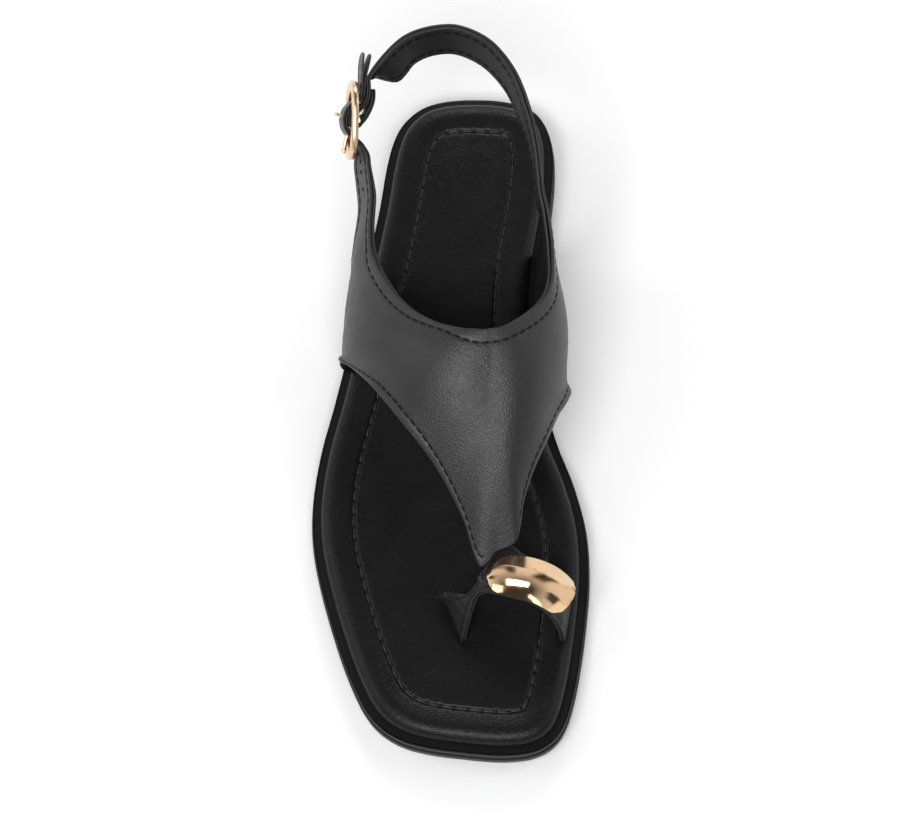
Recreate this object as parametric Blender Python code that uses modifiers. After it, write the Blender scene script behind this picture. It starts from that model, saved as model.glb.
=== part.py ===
"""Toe loop sandal, right shoe, standing empty on its sole.

Metres, +Z up. The toe points to -Y, the heel to +Y and the inner (big toe) side to +X.
The origin is on the floor under the heel, on the flat spot of the tread.
"""

import math

import bmesh
import bpy
from mathutils import Vector

# Sole, as measured along the floor and across the ball of the foot
sole_length = 0.258
ball_width = 0.102
heel_behind = 0.030  # from the origin back to the heel's end
heel_height = 0.0130  # floor to welt top at the heel
forefoot_height = 0.0090  # floor to welt top at the ball
arch_rise = 0.0030  # hollow under the waist
toe_spring = 0.0040  # lift of the toe's tip
welt_thickness = 0.0030
welt_inset = 0.0004  # the welt stands back from the outsole
groove_depth = 0.0011  # groove between welt and outsole
edge_round = 0.0006  # small rounding on the sole's edges
tread_margin = 0.0022  # bevel under the outsole's edge

# Footbed
footbed_inset = 0.0036  # outsole edge to footbed edge
footbed_thickness = 0.0058
panel_inset = 0.0158  # outsole edge to the sunk stitch line
panel_sink = 0.0012  # stitch line below the padded crest

# Upper
instep_rise = 0.060  # welt top to collar at the instep
wall = 0.0024
end_wall = 0.0015  # straps pared down where they pass the buckle
strap_width = 0.0145
seat_inset = 0.0022  # outsole edge to the middle of the wall where it meets the welt
trim_depth = 0.0010  # wall left over below the welt's top before it is trimmed

# Toe loop and its cuff
loop_wall = 0.0020
slot_depth = 0.0030
slot_play = 0.0004
cuff_wall = 0.0009  # metal under the hollow of its front face

# Buckle
ring_length = 0.0288
ring_play = 0.0010  # free above and below the strap in the ring's eye
ring_square = 0.7  # 1 for an ellipse, less for a squarer oval
end_width = 0.0130  # strap where it passes the ring
ring_band = 0.0041
ring_thickness = 0.0026
bar_radius = 0.0011
bar_back = 0.0008  # the bar sits behind the ring's plane
prong_radius = 0.00075
hole_play = 0.0004

fit = 0.0003  # gap left between pieces that touch

# Outline of the sole: share of its length from the heel, share of the ball width from its line
inner_side = [
    # along, across
    (0.000, 0.074),
    (0.004, 0.196),
    (0.019, 0.294),
    (0.052, 0.351),
    (0.103, 0.373),
    (0.182, 0.359),
    (0.279, 0.322),
    (0.372, 0.312),
    (0.457, 0.339),
    (0.529, 0.386),
    (0.596, 0.450),
    (0.663, 0.493),
    (0.731, 0.504),
    (0.798, 0.493),
    (0.868, 0.471),
    (0.928, 0.441),
    (0.967, 0.402),
    (0.990, 0.338),
    (0.998, 0.265),
]
outer_side = [
    # along, across
    (1.000, 0.176),
    (0.995, 0.039),
    (0.988, -0.078),
    (0.973, -0.186),
    (0.942, -0.275),
    (0.888, -0.346),
    (0.819, -0.409),
    (0.740, -0.466),
    (0.678, -0.494),
    (0.618, -0.496),
    (0.547, -0.471),
    (0.471, -0.424),
    (0.380, -0.373),
    (0.279, -0.324),
    (0.178, -0.277),
    (0.124, -0.258),
    (0.078, -0.235),
    (0.045, -0.201),
    (0.018, -0.137),
    (0.004, -0.049),
]
heel_end = 0.27  # shares of the length where the tread's flats stop and start
ball_start = 0.58
ball_end = 0.76
side_points = 48
even_rounds = 5  # how far the vamp's surface is evened out

# Ribs of the vamp from the outer strap round the instep to the inner strap. Each rib goes from
# the collar over a middle point to the lower edge. Shares of the sole's length, of the ball width
# and of the instep's rise above the welt. A lower edge across of 1 or -1 is let into the sole.
vamp_ribs = [
    # top along, across, up, middle along, across, up, low along, across, up
    (0.242, -0.283, 0.900, 0.240, -0.301, 0.785, 0.238, -0.316, 0.670),
    (0.275, -0.277, 0.830, 0.275, -0.309, 0.695, 0.273, -0.330, 0.555),
    (0.308, -0.267, 0.778, 0.308, -0.328, 0.586, 0.296, -0.346, 0.380),
    (0.326, -0.253, 0.766, 0.316, -0.345, 0.450, 0.282, -0.345, 0.175),
    (0.343, -0.237, 0.773, 0.326, -0.362, 0.350, 0.258, -1.000, 0.000),
    (0.382, -0.181, 0.823, 0.361, -0.374, 0.345, 0.322, -1.000, 0.000),
    (0.416, -0.106, 0.906, 0.421, -0.376, 0.470, 0.419, -1.000, 0.000),
    (0.436, -0.029, 0.965, 0.441, -0.315, 0.640, 0.430, -0.396, 0.240),
    (0.445, 0.029, 0.997, 0.457, -0.216, 0.802, 0.448, -0.359, 0.382),
    (0.450, 0.078, 1.011, 0.486, -0.088, 0.935, 0.506, -0.259, 0.674),
    (0.451, 0.108, 1.017, 0.512, -0.015, 0.942, 0.562, -0.155, 0.749),
    (0.451, 0.127, 1.017, 0.535, 0.044, 0.913, 0.612, -0.049, 0.675),
    (0.451, 0.142, 1.017, 0.554, 0.091, 0.874, 0.659, 0.026, 0.583),
    (0.450, 0.154, 1.015, 0.574, 0.123, 0.833, 0.701, 0.078, 0.500),
    (0.449, 0.166, 1.013, 0.599, 0.149, 0.783, 0.748, 0.121, 0.422),
    (0.448, 0.177, 1.011, 0.593, 0.176, 0.797, 0.729, 0.175, 0.458),
    (0.447, 0.190, 1.007, 0.581, 0.211, 0.817, 0.708, 0.241, 0.488),
    (0.444, 0.206, 1.001, 0.562, 0.237, 0.843, 0.671, 0.259, 0.538),
    (0.439, 0.229, 0.991, 0.533, 0.277, 0.866, 0.619, 0.301, 0.583),
    (0.429, 0.261, 0.968, 0.506, 0.325, 0.827, 0.576, 0.346, 0.575),
    (0.417, 0.294, 0.934, 0.479, 0.367, 0.750, 0.531, 0.385, 0.496),
    (0.398, 0.331, 0.878, 0.446, 0.398, 0.612, 0.484, 0.412, 0.335),
    (0.377, 0.355, 0.828, 0.426, 0.405, 0.430, 0.461, 1.000, 0.000),
    (0.353, 0.366, 0.798, 0.376, 0.390, 0.360, 0.388, 1.000, 0.000),
    (0.329, 0.366, 0.786, 0.322, 0.372, 0.365, 0.318, 1.000, 0.000),
    (0.306, 0.363, 0.796, 0.289, 0.360, 0.400, 0.256, 1.000, 0.000),
    (0.291, 0.359, 0.814, 0.277, 0.360, 0.500, 0.258, 0.322, 0.183),
    (0.276, 0.353, 0.840, 0.267, 0.354, 0.617, 0.258, 0.339, 0.383),
    (0.260, 0.347, 0.873, 0.256, 0.347, 0.740, 0.251, 0.341, 0.598),
]

# Top edge of the heel strap, from the inner quarter round the heel to the buckle. Lean in
# degrees, with the top edge tipped away from the foot.
heel_strap = [
    # along, across, up, lean
    (0.235, 0.333, 0.917, 4),
    (0.200, 0.324, 1.000, 4),
    (0.164, 0.308, 1.093, 5),
    (0.133, 0.282, 1.177, 7),
    (0.096, 0.244, 1.243, 10),
    (0.065, 0.190, 1.283, 13),
    (0.042, 0.125, 1.300, 15),
    (0.026, 0.027, 1.300, 15),
    (0.028, -0.076, 1.283, 15),
    (0.040, -0.155, 1.268, 13),
    (0.060, -0.218, 1.228, 8),
]

# Buckle: middle of its centre bar, and how it stands
buckle_place = (0.136, -0.343, 0.983)
buckle_lean = -11.0  # its top tips in, over the foot
buckle_turn = 2.0
buckle_pitch = 24.0  # the strap climbs towards the heel

# Way of the outer strap through the ring, tail first: share of the eye's half length towards the
# heel, then distance out from the ring's plane in strap layers and in half ring thicknesses
tail_folds = [
    # reach, layers, metal
    (2.36, -1.50, -1.0),
    (1.85, -0.95, -1.0),
    (1.23, -0.60, -1.0),
    (1.02, -0.62, -1.0),
    (0.79, -0.25, -1.0),
    (0.60, 0.50, 0.0),
    (0.33, 1.80, 0.0),
    (0.00, 2.22, 0.0),
    (-0.33, 1.80, 0.0),
    (-0.60, 0.50, 0.0),
    (-0.79, -0.25, -1.0),
    (-1.02, -0.62, -1.0),
    (-1.23, -0.60, -1.0),
    (-1.65, -0.40, -1.0),
]
# Way of the heel strap's end to the centre bar, and of its turned end on the inside
bar_approach = [
    # reach, layers, metal
    (1.60, -1.85, -1.0),
    (1.23, -1.66, -1.0),
    (0.90, -1.68, -1.0),
    (0.58, -1.00, -1.0),
    (0.34, -0.44, 0.0),
]
turned_end = [
    # reach, layers, metal
    (0.06, -1.76, 0.0),
    (0.32, -2.60, 0.0),
    (0.61, -3.20, 0.0),
    (0.86, -3.44, 0.0),
    (1.12, -3.52, 0.0),
]
wrap_from = 30.0  # degrees round the bar that the fold covers
wrap_to = 250.0
wrap_steps = 6

# Toe loop: its rear and front edges from the outer foot over the toe to the inner foot
loop_ribs = [
    # rear along, across, up, front along, across, up
    (0.774, -0.001, 0.133, 0.834, 0.060, 0.127),
    (0.773, 0.033, 0.236, 0.810, 0.082, 0.247),
    (0.768, 0.073, 0.320, 0.788, 0.102, 0.342),
    (0.760, 0.108, 0.367, 0.783, 0.129, 0.399),
    (0.744, 0.157, 0.403, 0.790, 0.176, 0.443),
    (0.730, 0.211, 0.433, 0.797, 0.235, 0.465),
    (0.734, 0.275, 0.453, 0.803, 0.294, 0.458),
    (0.748, 0.338, 0.433, 0.810, 0.343, 0.397),
    (0.761, 0.392, 0.355, 0.818, 0.378, 0.296),
    (0.771, 0.424, 0.240, 0.828, 0.400, 0.211),
    (0.775, 0.431, 0.133, 0.834, 0.408, 0.127),
]

# Cuff: rows along the loop. Place round the loop, places across it of the rear edge, ridge,
# hollow and front edge, and the rise of each above the leather in shares of the cuff's wall
cuff_rows = [
    # round, rear, ridge, hollow, front, rear rise, ridge rise, hollow rise, front rise
    (0.33, 0.42, 0.54, 0.66, 0.78, 0.6, 1.0, 0.8, 0.6),
    (0.37, 0.24, 0.44, 0.68, 0.95, 1.0, 2.4, 1.6, 1.0),
    (0.43, 0.12, 0.38, 0.70, 1.00, 1.4, 3.8, 1.8, 1.4),
    (0.51, 0.12, 0.36, 0.70, 1.02, 1.6, 4.2, 1.6, 1.6),
    (0.59, 0.12, 0.36, 0.68, 1.00, 1.6, 4.2, 1.6, 1.6),
    (0.66, 0.12, 0.36, 0.64, 0.94, 1.6, 3.8, 1.7, 1.6),
    (0.73, 0.10, 0.34, 0.60, 0.86, 1.6, 3.4, 1.9, 1.6),
    (0.79, 0.08, 0.32, 0.54, 0.76, 1.6, 3.2, 1.9, 1.6),
    (0.84, 0.08, 0.30, 0.46, 0.62, 1.4, 2.4, 1.8, 1.4),
]

leather_black = (0.018, 0.018, 0.019, 1.0)
footbed_black = (0.012, 0.012, 0.0125, 1.0)
rubber_black = (0.010, 0.010, 0.010, 1.0)
gold = (0.86, 0.58, 0.33, 1.0)

for old in list(bpy.data.objects):
    bpy.data.objects.remove(old, do_unlink=True)

parts = bpy.data.collections.new("toe_loop_sandal")
cutters = bpy.data.collections.new("cutters")
bpy.context.scene.collection.children.link(parts)
bpy.context.scene.collection.children.link(cutters)


def finish(name, colour, roughness, metallic):
    """A plain Principled material for one piece."""
    material = bpy.data.materials.new(name)
    material.use_nodes = True
    shader = material.node_tree.nodes["Principled BSDF"]
    shader.inputs["Base Color"].default_value = colour
    shader.inputs["Roughness"].default_value = roughness
    shader.inputs["Metallic"].default_value = metallic
    return material


def ease(value):
    """Smooth step from 0 to 1."""
    value = min(1.0, max(0.0, value))
    return value * value * (3.0 - 2.0 * value)


def welt_top(along):
    """Height of the welt's top face above the floor."""
    fall = ease((along - heel_end) / (ball_start - heel_end))
    height = heel_height + (forefoot_height - heel_height) * fall
    return height + spring(along)


def spring(along):
    """Lift of the sole towards the toe's tip."""
    return toe_spring * max(0.0, (along - ball_end) / (1.0 - ball_end)) ** 2


def tread(along):
    """Height of the underside: two flats, the arch between them and the toe spring."""
    waist = (along - heel_end) / (ball_start - heel_end)
    hollow = arch_rise * math.sin(math.pi * waist) ** 2 if 0.0 < waist < 1.0 else 0.0
    return hollow + spring(along)


def along_of(point):
    """Share of the sole's length at a point, from the heel's end."""
    return (heel_behind - point.y) / sole_length


def place(along, across, up):
    """A point from its shares of the sole's length, the ball width and the instep's rise."""
    height = welt_top(along) + up * instep_rise
    return Vector((across * ball_width, heel_behind - along * sole_length, height))


def blend(points, spot, closed=False):
    """Point on the smooth curve through the points, at a spot counted in points."""
    count = len(points)
    start = math.floor(spot) if closed else min(int(spot), count - 2)
    t = spot - start
    if closed:
        a, b, c, d = (points[(start + k) % count] for k in (-1, 0, 1, 2))
    else:
        b, c = points[start], points[start + 1]
        a = points[start - 1] if start > 0 else b * 2.0 - c
        d = points[start + 2] if start + 2 < count else c * 2.0 - b
    bend = (a * -1.0 + b * 3.0 - c * 3.0 + d) * (t * t * t)
    swell = (a * 2.0 - b * 5.0 + c * 4.0 - d) * (t * t)
    return (b * 2.0 + (c - a) * t + swell + bend) * 0.5


def even_points(points, first, last, count):
    """Points at even distances along the closed curve, from one given point to another."""
    dense = [blend(points, first + (last - first) * k / 600.0, closed=True) for k in range(601)]
    reach = [0.0]
    for k in range(600):
        reach.append(reach[-1] + (dense[k + 1] - dense[k]).length)
    result = []
    spot = 0
    for k in range(count):
        goal = reach[-1] * k / count
        while reach[spot + 1] < goal:
            spot += 1
        share = (goal - reach[spot]) / (reach[spot + 1] - reach[spot])
        result.append(dense[spot].lerp(dense[spot + 1], share))
    return result


def sole_outline():
    """The outsole's edge as points in plan: inner side to the toe, then outer side back."""
    rows = inner_side + outer_side
    points = [
        Vector((across * ball_width, heel_behind - along * sole_length, 0.0))
        for along, across in rows
    ]
    toe = len(inner_side)
    inner = even_points(points, 0, toe, side_points)
    outer = even_points(points, toe, len(points), side_points)
    return inner + outer


def inward(points):
    """Directions into the sole at each outline point, evened out round the corners."""
    count = len(points)
    ways = []
    for k in range(count):
        run = points[(k + 1) % count] - points[k - 1]
        ways.append(Vector((run.y, -run.x, 0.0)).normalized())
    for _ in range(5):
        ways = [
            (ways[k - 1] + ways[k] * 2.0 + ways[(k + 1) % count]).normalized()
            for k in range(count)
        ]
    return ways


outline = sole_outline()
outline_in = inward(outline)


def ring_at(inset, height):
    """One ring of the sole: the outline moved in, at a height that follows the sole."""
    ring = []
    for point, way in zip(outline, outline_in):
        moved = point + way * inset
        ring.append(Vector((moved.x, moved.y, height(along_of(moved)))))
    return ring


def add_object(name, mesh, material, collection=parts):
    """Puts a mesh into the scene as one piece."""
    piece = bpy.data.objects.new(name, mesh)
    collection.objects.link(piece)
    if material:
        mesh.materials.append(material)
    mesh.shade_smooth()
    mesh.set_sharp_from_angle(angle=math.radians(35))
    return piece


def as_cutter(piece):
    """Marks a piece as a cutter only."""
    piece.hide_render = True
    piece.display_type = "WIRE"


def to_mesh(name, shape):
    """Turns a bmesh into a mesh, with its faces pointing out."""
    bmesh.ops.recalc_face_normals(shape, faces=shape.faces)
    mesh = bpy.data.meshes.new(name)
    shape.to_mesh(mesh)
    shape.free()
    return mesh


def plate(name, profile, material, collection=parts):
    """A layer of the sole, lofted through rings, with ladder faces across top and bottom."""
    shape = bmesh.new()
    rings = [[shape.verts.new(point) for point in ring_at(*row)] for row in profile]
    count = len(outline)
    for low, high in zip(rings, rings[1:]):
        for k in range(count):
            n = (k + 1) % count
            shape.faces.new((low[k], low[n], high[n], high[k]))
    for ring in (rings[0], rings[-1]):
        for k in range(count // 2):
            corners = (ring[-k], ring[k], ring[k + 1], ring[-k - 1])
            shape.faces.new(tuple(dict.fromkeys(corners)))
    return add_object(name, to_mesh(name, shape), material, collection)


def ribbon(name, ribs, thickness, material, collection=parts, shares=None):
    """A leather band: a grid of points, given its thickness on both sides.

    With shares, one for each rib, the band is pared down to that share of its thickness.
    """
    shape = bmesh.new()
    weights = shape.verts.layers.deform.verify() if shares else None
    grid = [[shape.verts.new(point) for point in rib] for rib in ribs]
    if shares:
        for rib, share in zip(grid, shares):
            for vert in rib:
                vert[weights][0] = share
    for near, far in zip(grid, grid[1:]):
        for k in range(len(near) - 1):
            shape.faces.new((near[k], near[k + 1], far[k + 1], far[k]))
    bmesh.ops.recalc_face_normals(shape, faces=shape.faces)
    mesh = bpy.data.meshes.new(name)
    shape.to_mesh(mesh)
    shape.free()
    piece = add_object(name, mesh, material, collection)
    solid = piece.modifiers.new("wall", "SOLIDIFY")
    solid.thickness = thickness
    solid.offset = 0.0
    if shares:
        solid.vertex_group = piece.vertex_groups.new(name="thickness").name
    return piece


def cut(piece, cutter, operation="DIFFERENCE"):
    """A boolean between two pieces."""
    boolean = piece.modifiers.new(operation.lower(), "BOOLEAN")
    boolean.operation = operation
    boolean.solver = "EXACT"
    boolean.object = cutter


def seat(side, along):
    """Point where the upper's wall stands on the welt, on the inner (1) or outer (-1) side."""
    wanted = heel_behind - along * sole_length
    half = range(side_points) if side > 0 else range(side_points, 2 * side_points)
    for k in half:
        near = outline[k] + outline_in[k] * seat_inset
        n = (k + 1) % len(outline)
        far = outline[n] + outline_in[n] * seat_inset
        if (near.y - wanted) * (far.y - wanted) <= 0.0 and near.y != far.y:
            point = near.lerp(far, (wanted - near.y) / (far.y - near.y))
            point.z = welt_top(along) - trim_depth
            return point
    raise ValueError("no seat at this place along the sole")


def rib_points(top, middle, low, count):
    """Points down one rib, on the curve through its three points."""
    upper_run = (middle - top).length
    knee = upper_run / (upper_run + (low - middle).length)
    points = []
    for k in range(count + 1):
        t = k / count
        at_top = (t - knee) * (t - 1.0) / knee
        at_middle = t * (t - 1.0) / (knee * (knee - 1.0))
        at_low = t * (t - knee) / (1.0 - knee)
        points.append(top * at_top + middle * at_middle + low * at_low)
    return points


# Frame of the buckle: towards the heel, up its centre bar and out from the foot
turn = math.radians(buckle_turn)
lean = math.radians(buckle_lean)
pitch = math.radians(buckle_pitch)
flat_run = Vector((math.sin(turn), math.cos(turn), 0.0))
flat_side = Vector((-math.cos(turn), math.sin(turn), 0.0))
ring_run = flat_run * math.cos(pitch) + Vector((0.0, 0.0, math.sin(pitch)))
upright = flat_run * -math.sin(pitch) + Vector((0.0, 0.0, math.cos(pitch)))
ring_up = upright * math.cos(lean) + flat_side * math.sin(lean)
ring_out = flat_side * math.cos(lean) - upright * math.sin(lean)
ring_middle = place(*buckle_place)
eye_half = ring_length / 2.0 - ring_band
layer = end_wall + fit


def at_ring(reach, out, up=0.0):
    """A point from its distances along, out from and up the ring."""
    return ring_middle + ring_run * reach + ring_out * out + ring_up * up


def folded(rows):
    """Top, middle and low points of a strap on its way through the ring."""
    result = []
    for reach, layers, metal in rows:
        out = layers * layer + metal * ring_thickness / 2.0 - bar_back
        result.append([
            at_ring(reach * eye_half, out, end_width * part) for part in (0.5, 0.0, -0.5)
        ])
    return result


def wrapped():
    """Top, middle and low points of the fold round the centre bar."""
    radius = bar_radius + fit + end_wall / 2.0
    result = []
    for k in range(wrap_steps + 1):
        angle = math.radians(wrap_from + (wrap_to - wrap_from) * k / wrap_steps)
        run, out = radius * math.cos(angle), radius * math.sin(angle) - bar_back
        result.append([at_ring(run, out, end_width * part) for part in (0.5, 0.0, -0.5)])
    return result


def leaning(rows):
    """Top, middle and low points of the heel strap."""
    tops = [place(along, across, up) for along, across, up, _ in rows]
    result = []
    for k, row in enumerate(rows):
        run = tops[min(k + 1, len(tops) - 1)] - tops[max(k - 1, 0)]
        away = Vector((run.y, -run.x, 0.0)).normalized()
        tip = math.radians(row[3])
        down = away * -math.sin(tip) - Vector((0.0, 0.0, 1.0)) * math.cos(tip)
        result.append([tops[k] + down * strap_width * part for part in (0.0, 0.5, 1.0)])
    return result


def vamp():
    """Top, middle and low points of the vamp's ribs."""
    result = []
    for row in vamp_ribs:
        along, across, up = row[6:]
        low = seat(across, along) if abs(across) == 1.0 else place(along, across, up)
        result.append([place(*row[:3]), place(*row[3:6]), low])
    return result


def evened(ribs, first, last):
    """Ribs with the points between their edges evened out, as leather lies over a last."""
    for _ in range(even_rounds):
        before = [list(rib) for rib in ribs]
        for k in range(first, last):
            for n in range(1, len(ribs[k]) - 1):
                beside = before[k - 1][n] + before[k + 1][n]
                along_rib = before[k][n - 1] + before[k][n + 1]
                ribs[k][n] = before[k][n] * 0.5 + (beside + along_rib) * 0.125
    return ribs


def upper_ribs(steps, across):
    """All ribs of the upper from the outer strap's tail to the heel strap's turned end, and the
    share of the wall's thickness at each."""
    tail, middle_part, strap = folded(tail_folds), vamp(), leaning(heel_strap)
    turned = folded(bar_approach) + wrapped() + folded(turned_end)
    rows = tail + middle_part + strap + turned
    thin = end_wall / wall
    thickness = [thin] * len(tail) + [1.0] * len(middle_part + strap) + [thin] * len(turned)
    lines = [[row[part] for row in rows] for part in range(3)]
    ribs = []
    shares = []
    for k in range((len(rows) - 1) * steps + 1):
        top, middle, low = (blend(line, k / steps) for line in lines)
        ribs.append(rib_points(top, middle, low, across))
        near = min(k // steps, len(rows) - 2)
        shares.append(thickness[near] + (thickness[near + 1] - thickness[near]) * (k / steps - near))
    first = (len(tail) + 1) * steps
    last = (len(tail) + len(middle_part)) * steps
    return evened(ribs, first, last), shares


def loop_point(spot, part):
    """Point on the toe loop's middle surface: place round it, and share from rear to front."""
    rears = [place(*row[:3]) for row in loop_ribs]
    fronts = [place(*row[3:]) for row in loop_ribs]
    count = len(loop_ribs) - 1
    rear = blend(rears, spot * count)
    front = blend(fronts, spot * count)
    return rear + (front - rear) * part


def loop_out(spot, part):
    """Direction out of the toe loop, away from the toe."""
    step = 0.01
    round_it = loop_point(min(1.0, spot + step), part) - loop_point(max(0.0, spot - step), part)
    across_it = loop_point(spot, 1.0) - loop_point(spot, 0.0)
    return across_it.cross(round_it).normalized()


def make_sole():
    """Outsole, welt and footbed."""
    def outsole_top(along):
        return welt_top(along) - welt_thickness - fit

    outsole_rows = [
        (tread_margin, tread),
        (edge_round, lambda a: tread(a) + edge_round),
        (0.0, lambda a: tread(a) + 3.0 * edge_round),
        (0.0, lambda a: outsole_top(a) - 2.0 * edge_round),
        (edge_round, lambda a: outsole_top(a) - edge_round),
        (welt_inset + groove_depth, lambda a: outsole_top(a) - edge_round),
        (welt_inset + groove_depth + edge_round, outsole_top),
    ]
    plate("outsole", outsole_rows, finish("outsole_rubber", rubber_black, 0.5, 0.0))

    def welt_base(along):
        return welt_top(along) - welt_thickness

    welt_rows = [
        (welt_inset + groove_depth, welt_base),
        (welt_inset + edge_round / 2.0, lambda a: welt_base(a) + edge_round),
        (welt_inset, lambda a: welt_top(a) - 1.5 * edge_round),
        (welt_inset + edge_round / 2.0, lambda a: welt_top(a) - edge_round / 3.0),
        (welt_inset + 1.5 * edge_round, welt_top),
        (seat_inset, lambda a: welt_top(a)),
    ]
    plate("welt", welt_rows, finish("welt_board", rubber_black, 0.4, 0.0))

    def footbed_at(rise):
        return lambda along: welt_top(along) + fit + rise * footbed_thickness

    footbed_rows = [
        (footbed_inset + 0.25 * footbed_thickness, footbed_at(0.0)),
        (footbed_inset + 0.03 * footbed_thickness, footbed_at(0.16)),
        (footbed_inset + 0.05 * footbed_thickness, footbed_at(0.42)),
        (footbed_inset + 0.22 * footbed_thickness, footbed_at(0.69)),
        (footbed_inset + 0.50 * footbed_thickness, footbed_at(0.88)),
        (footbed_inset + 0.90 * footbed_thickness, footbed_at(0.98)),
        (footbed_inset + 1.35 * footbed_thickness, footbed_at(1.0)),
        (panel_inset - panel_sink, lambda a: footbed_at(1.0)(a) - 0.4 * panel_sink),
        (panel_inset, lambda a: footbed_at(1.0)(a) - panel_sink),
        (panel_inset + 1.5 * panel_sink, lambda a: footbed_at(1.0)(a) - 0.7 * panel_sink),
    ]
    return plate("footbed", footbed_rows, finish("footbed_leather", footbed_black, 0.45, 0.0))


def trim_upper(upper):
    """Cuts the upper's foot flush, just clear of the welt."""
    outside = -2.0 * wall
    trim_rows = [(outside, tread), (outside, lambda along: welt_top(along) + fit)]
    trim = plate("sole_trim", trim_rows, None, cutters)
    as_cutter(trim)
    cut(upper, trim)


def slot_line(spot, stretch):
    """The two ends of the line where a foot of the loop goes into the footbed."""
    rear, front = loop_point(spot, 0.0), loop_point(spot, 1.0)
    along = (front - rear).normalized() * stretch
    return rear - along, front + along


def make_loop(footbed):
    """Toe loop with both feet let into slots of the footbed."""
    ribs = []
    count = 3 * (len(loop_ribs) - 1)
    down = Vector((0.0, 0.0, -1.0))
    for k in range(count + 1):
        spot = k / count
        ribs.append([loop_point(spot, part / 4.0) for part in range(5)])
    ribs.insert(0, [point + down * slot_depth for point in ribs[0]])
    ribs.append([point + down * slot_depth for point in ribs[-1]])
    ribbon("toe_loop", ribs, loop_wall, finish("loop_leather", leather_black, 0.5, 0.0))
    for name, spot in (("outer_slot", 0.0), ("inner_slot", 1.0)):
        rear, front = slot_line(spot, slot_play)
        faces = [
            [point + down * (slot_depth + slot_play) for point in (rear, front)],
            [point - down * slot_depth for point in (rear, front)],
        ]
        slot = ribbon(name, faces, loop_wall + 2.0 * slot_play, None, cutters)
        as_cutter(slot)
        cut(footbed, slot)


def make_cuff():
    """Gold coloured cuff: a roof-shaped section with a hollow front, swept over the loop."""
    base = loop_wall / 2.0 + fit
    rows = [Vector(row[1:5]) for row in cuff_rows]
    rises = [Vector(row[5:]) for row in cuff_rows]
    spots = [Vector((row[0], 0.0)) for row in cuff_rows]
    shape = bmesh.new()
    sections = []
    steps = 3
    for k in range((len(rows) - 1) * steps + 1):
        spot = blend(spots, k / steps).x
        parts_across = blend(rows, k / steps)
        heights = blend(rises, k / steps)
        section = []
        for part, rise in zip(parts_across, heights):
            out = loop_out(spot, part)
            section.append(loop_point(spot, part) + out * (base + rise * cuff_wall))
        for part in (parts_across[3], parts_across[2], parts_across[1], parts_across[0]):
            section.append(loop_point(spot, part) + loop_out(spot, part) * base)
        sections.append([shape.verts.new(point) for point in section])
    for near, far in zip(sections, sections[1:]):
        for k in range(len(near)):
            n = (k + 1) % len(near)
            shape.faces.new((near[k], near[n], far[n], far[k]))
    shape.faces.new(sections[0])
    shape.faces.new(sections[-1])
    add_object("toe_cuff", to_mesh("toe_cuff", shape), finish("cuff_gold", gold, 0.12, 1.0))


def rounded(value):
    """Sine or cosine of an ellipse turned into that of a squarer oval."""
    return math.copysign(abs(value) ** ring_square, value)


def make_buckle():
    """Oval ring with a centre bar, and a prong bent round the bar."""
    ring_height = end_width + 2.0 * (fit + ring_play + ring_band)
    round_count = 48
    shape = bmesh.new()
    rings = []
    half = ring_thickness / 2.0
    soft = ring_thickness / 4.0
    section = [
        (0.0, -half + soft), (0.0, half - soft), (soft, half), (ring_band - soft, half),
        (ring_band, half - soft), (ring_band, -half + soft), (ring_band - soft, -half),
        (soft, -half),
    ]
    for k in range(round_count):
        angle = 2.0 * math.pi * k / round_count
        ring = []
        for inset, out in section:
            run = (ring_length / 2.0 - inset) * rounded(math.cos(angle))
            up = (ring_height / 2.0 - inset) * rounded(math.sin(angle))
            ring.append(shape.verts.new(at_ring(run, out, up)))
        rings.append(ring)
    for k in range(round_count):
        near, far = rings[k], rings[(k + 1) % round_count]
        for i in range(len(section)):
            n = (i + 1) % len(section)
            shape.faces.new((near[i], near[n], far[n], far[i]))
    brass = finish("buckle_gold", gold, 0.18, 1.0)
    ring = add_object("buckle_ring", to_mesh("buckle_ring", shape), brass)

    shape = bmesh.new()
    bar_length = ring_height - ring_band
    bmesh.ops.create_cone(
        shape, cap_ends=True, segments=16, radius1=bar_radius, radius2=bar_radius, depth=bar_length
    )
    turn_up = Vector((0.0, 0.0, 1.0)).rotation_difference(ring_up).to_matrix().to_4x4()
    turn_up.translation = at_ring(0.0, -bar_back)
    bmesh.ops.transform(shape, matrix=turn_up, verts=shape.verts)
    bar = add_object("centre_bar", to_mesh("centre_bar", shape), brass, cutters)
    as_cutter(bar)
    cut(ring, bar, "UNION")
    return ring_height


def prong_path():
    """Way of the prong: round the bar, out through the strap and onto the ring's front end."""
    radius = bar_radius + fit + prong_radius
    points = []
    for degrees in range(-60, 136, 15):
        angle = math.radians(degrees)
        points.append(at_ring(radius * math.cos(angle), radius * math.sin(angle) - bar_back))
    hole = at_ring(-0.50 * eye_half, 1.06 * layer - bar_back)
    tip_out = ring_thickness / 2.0 + fit + 1.35 * prong_radius
    points.append(hole)
    points.append(at_ring(-0.80 * eye_half, 1.42 * layer))
    points.append(at_ring(-eye_half - 0.45 * ring_band, tip_out))
    return points, hole


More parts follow.
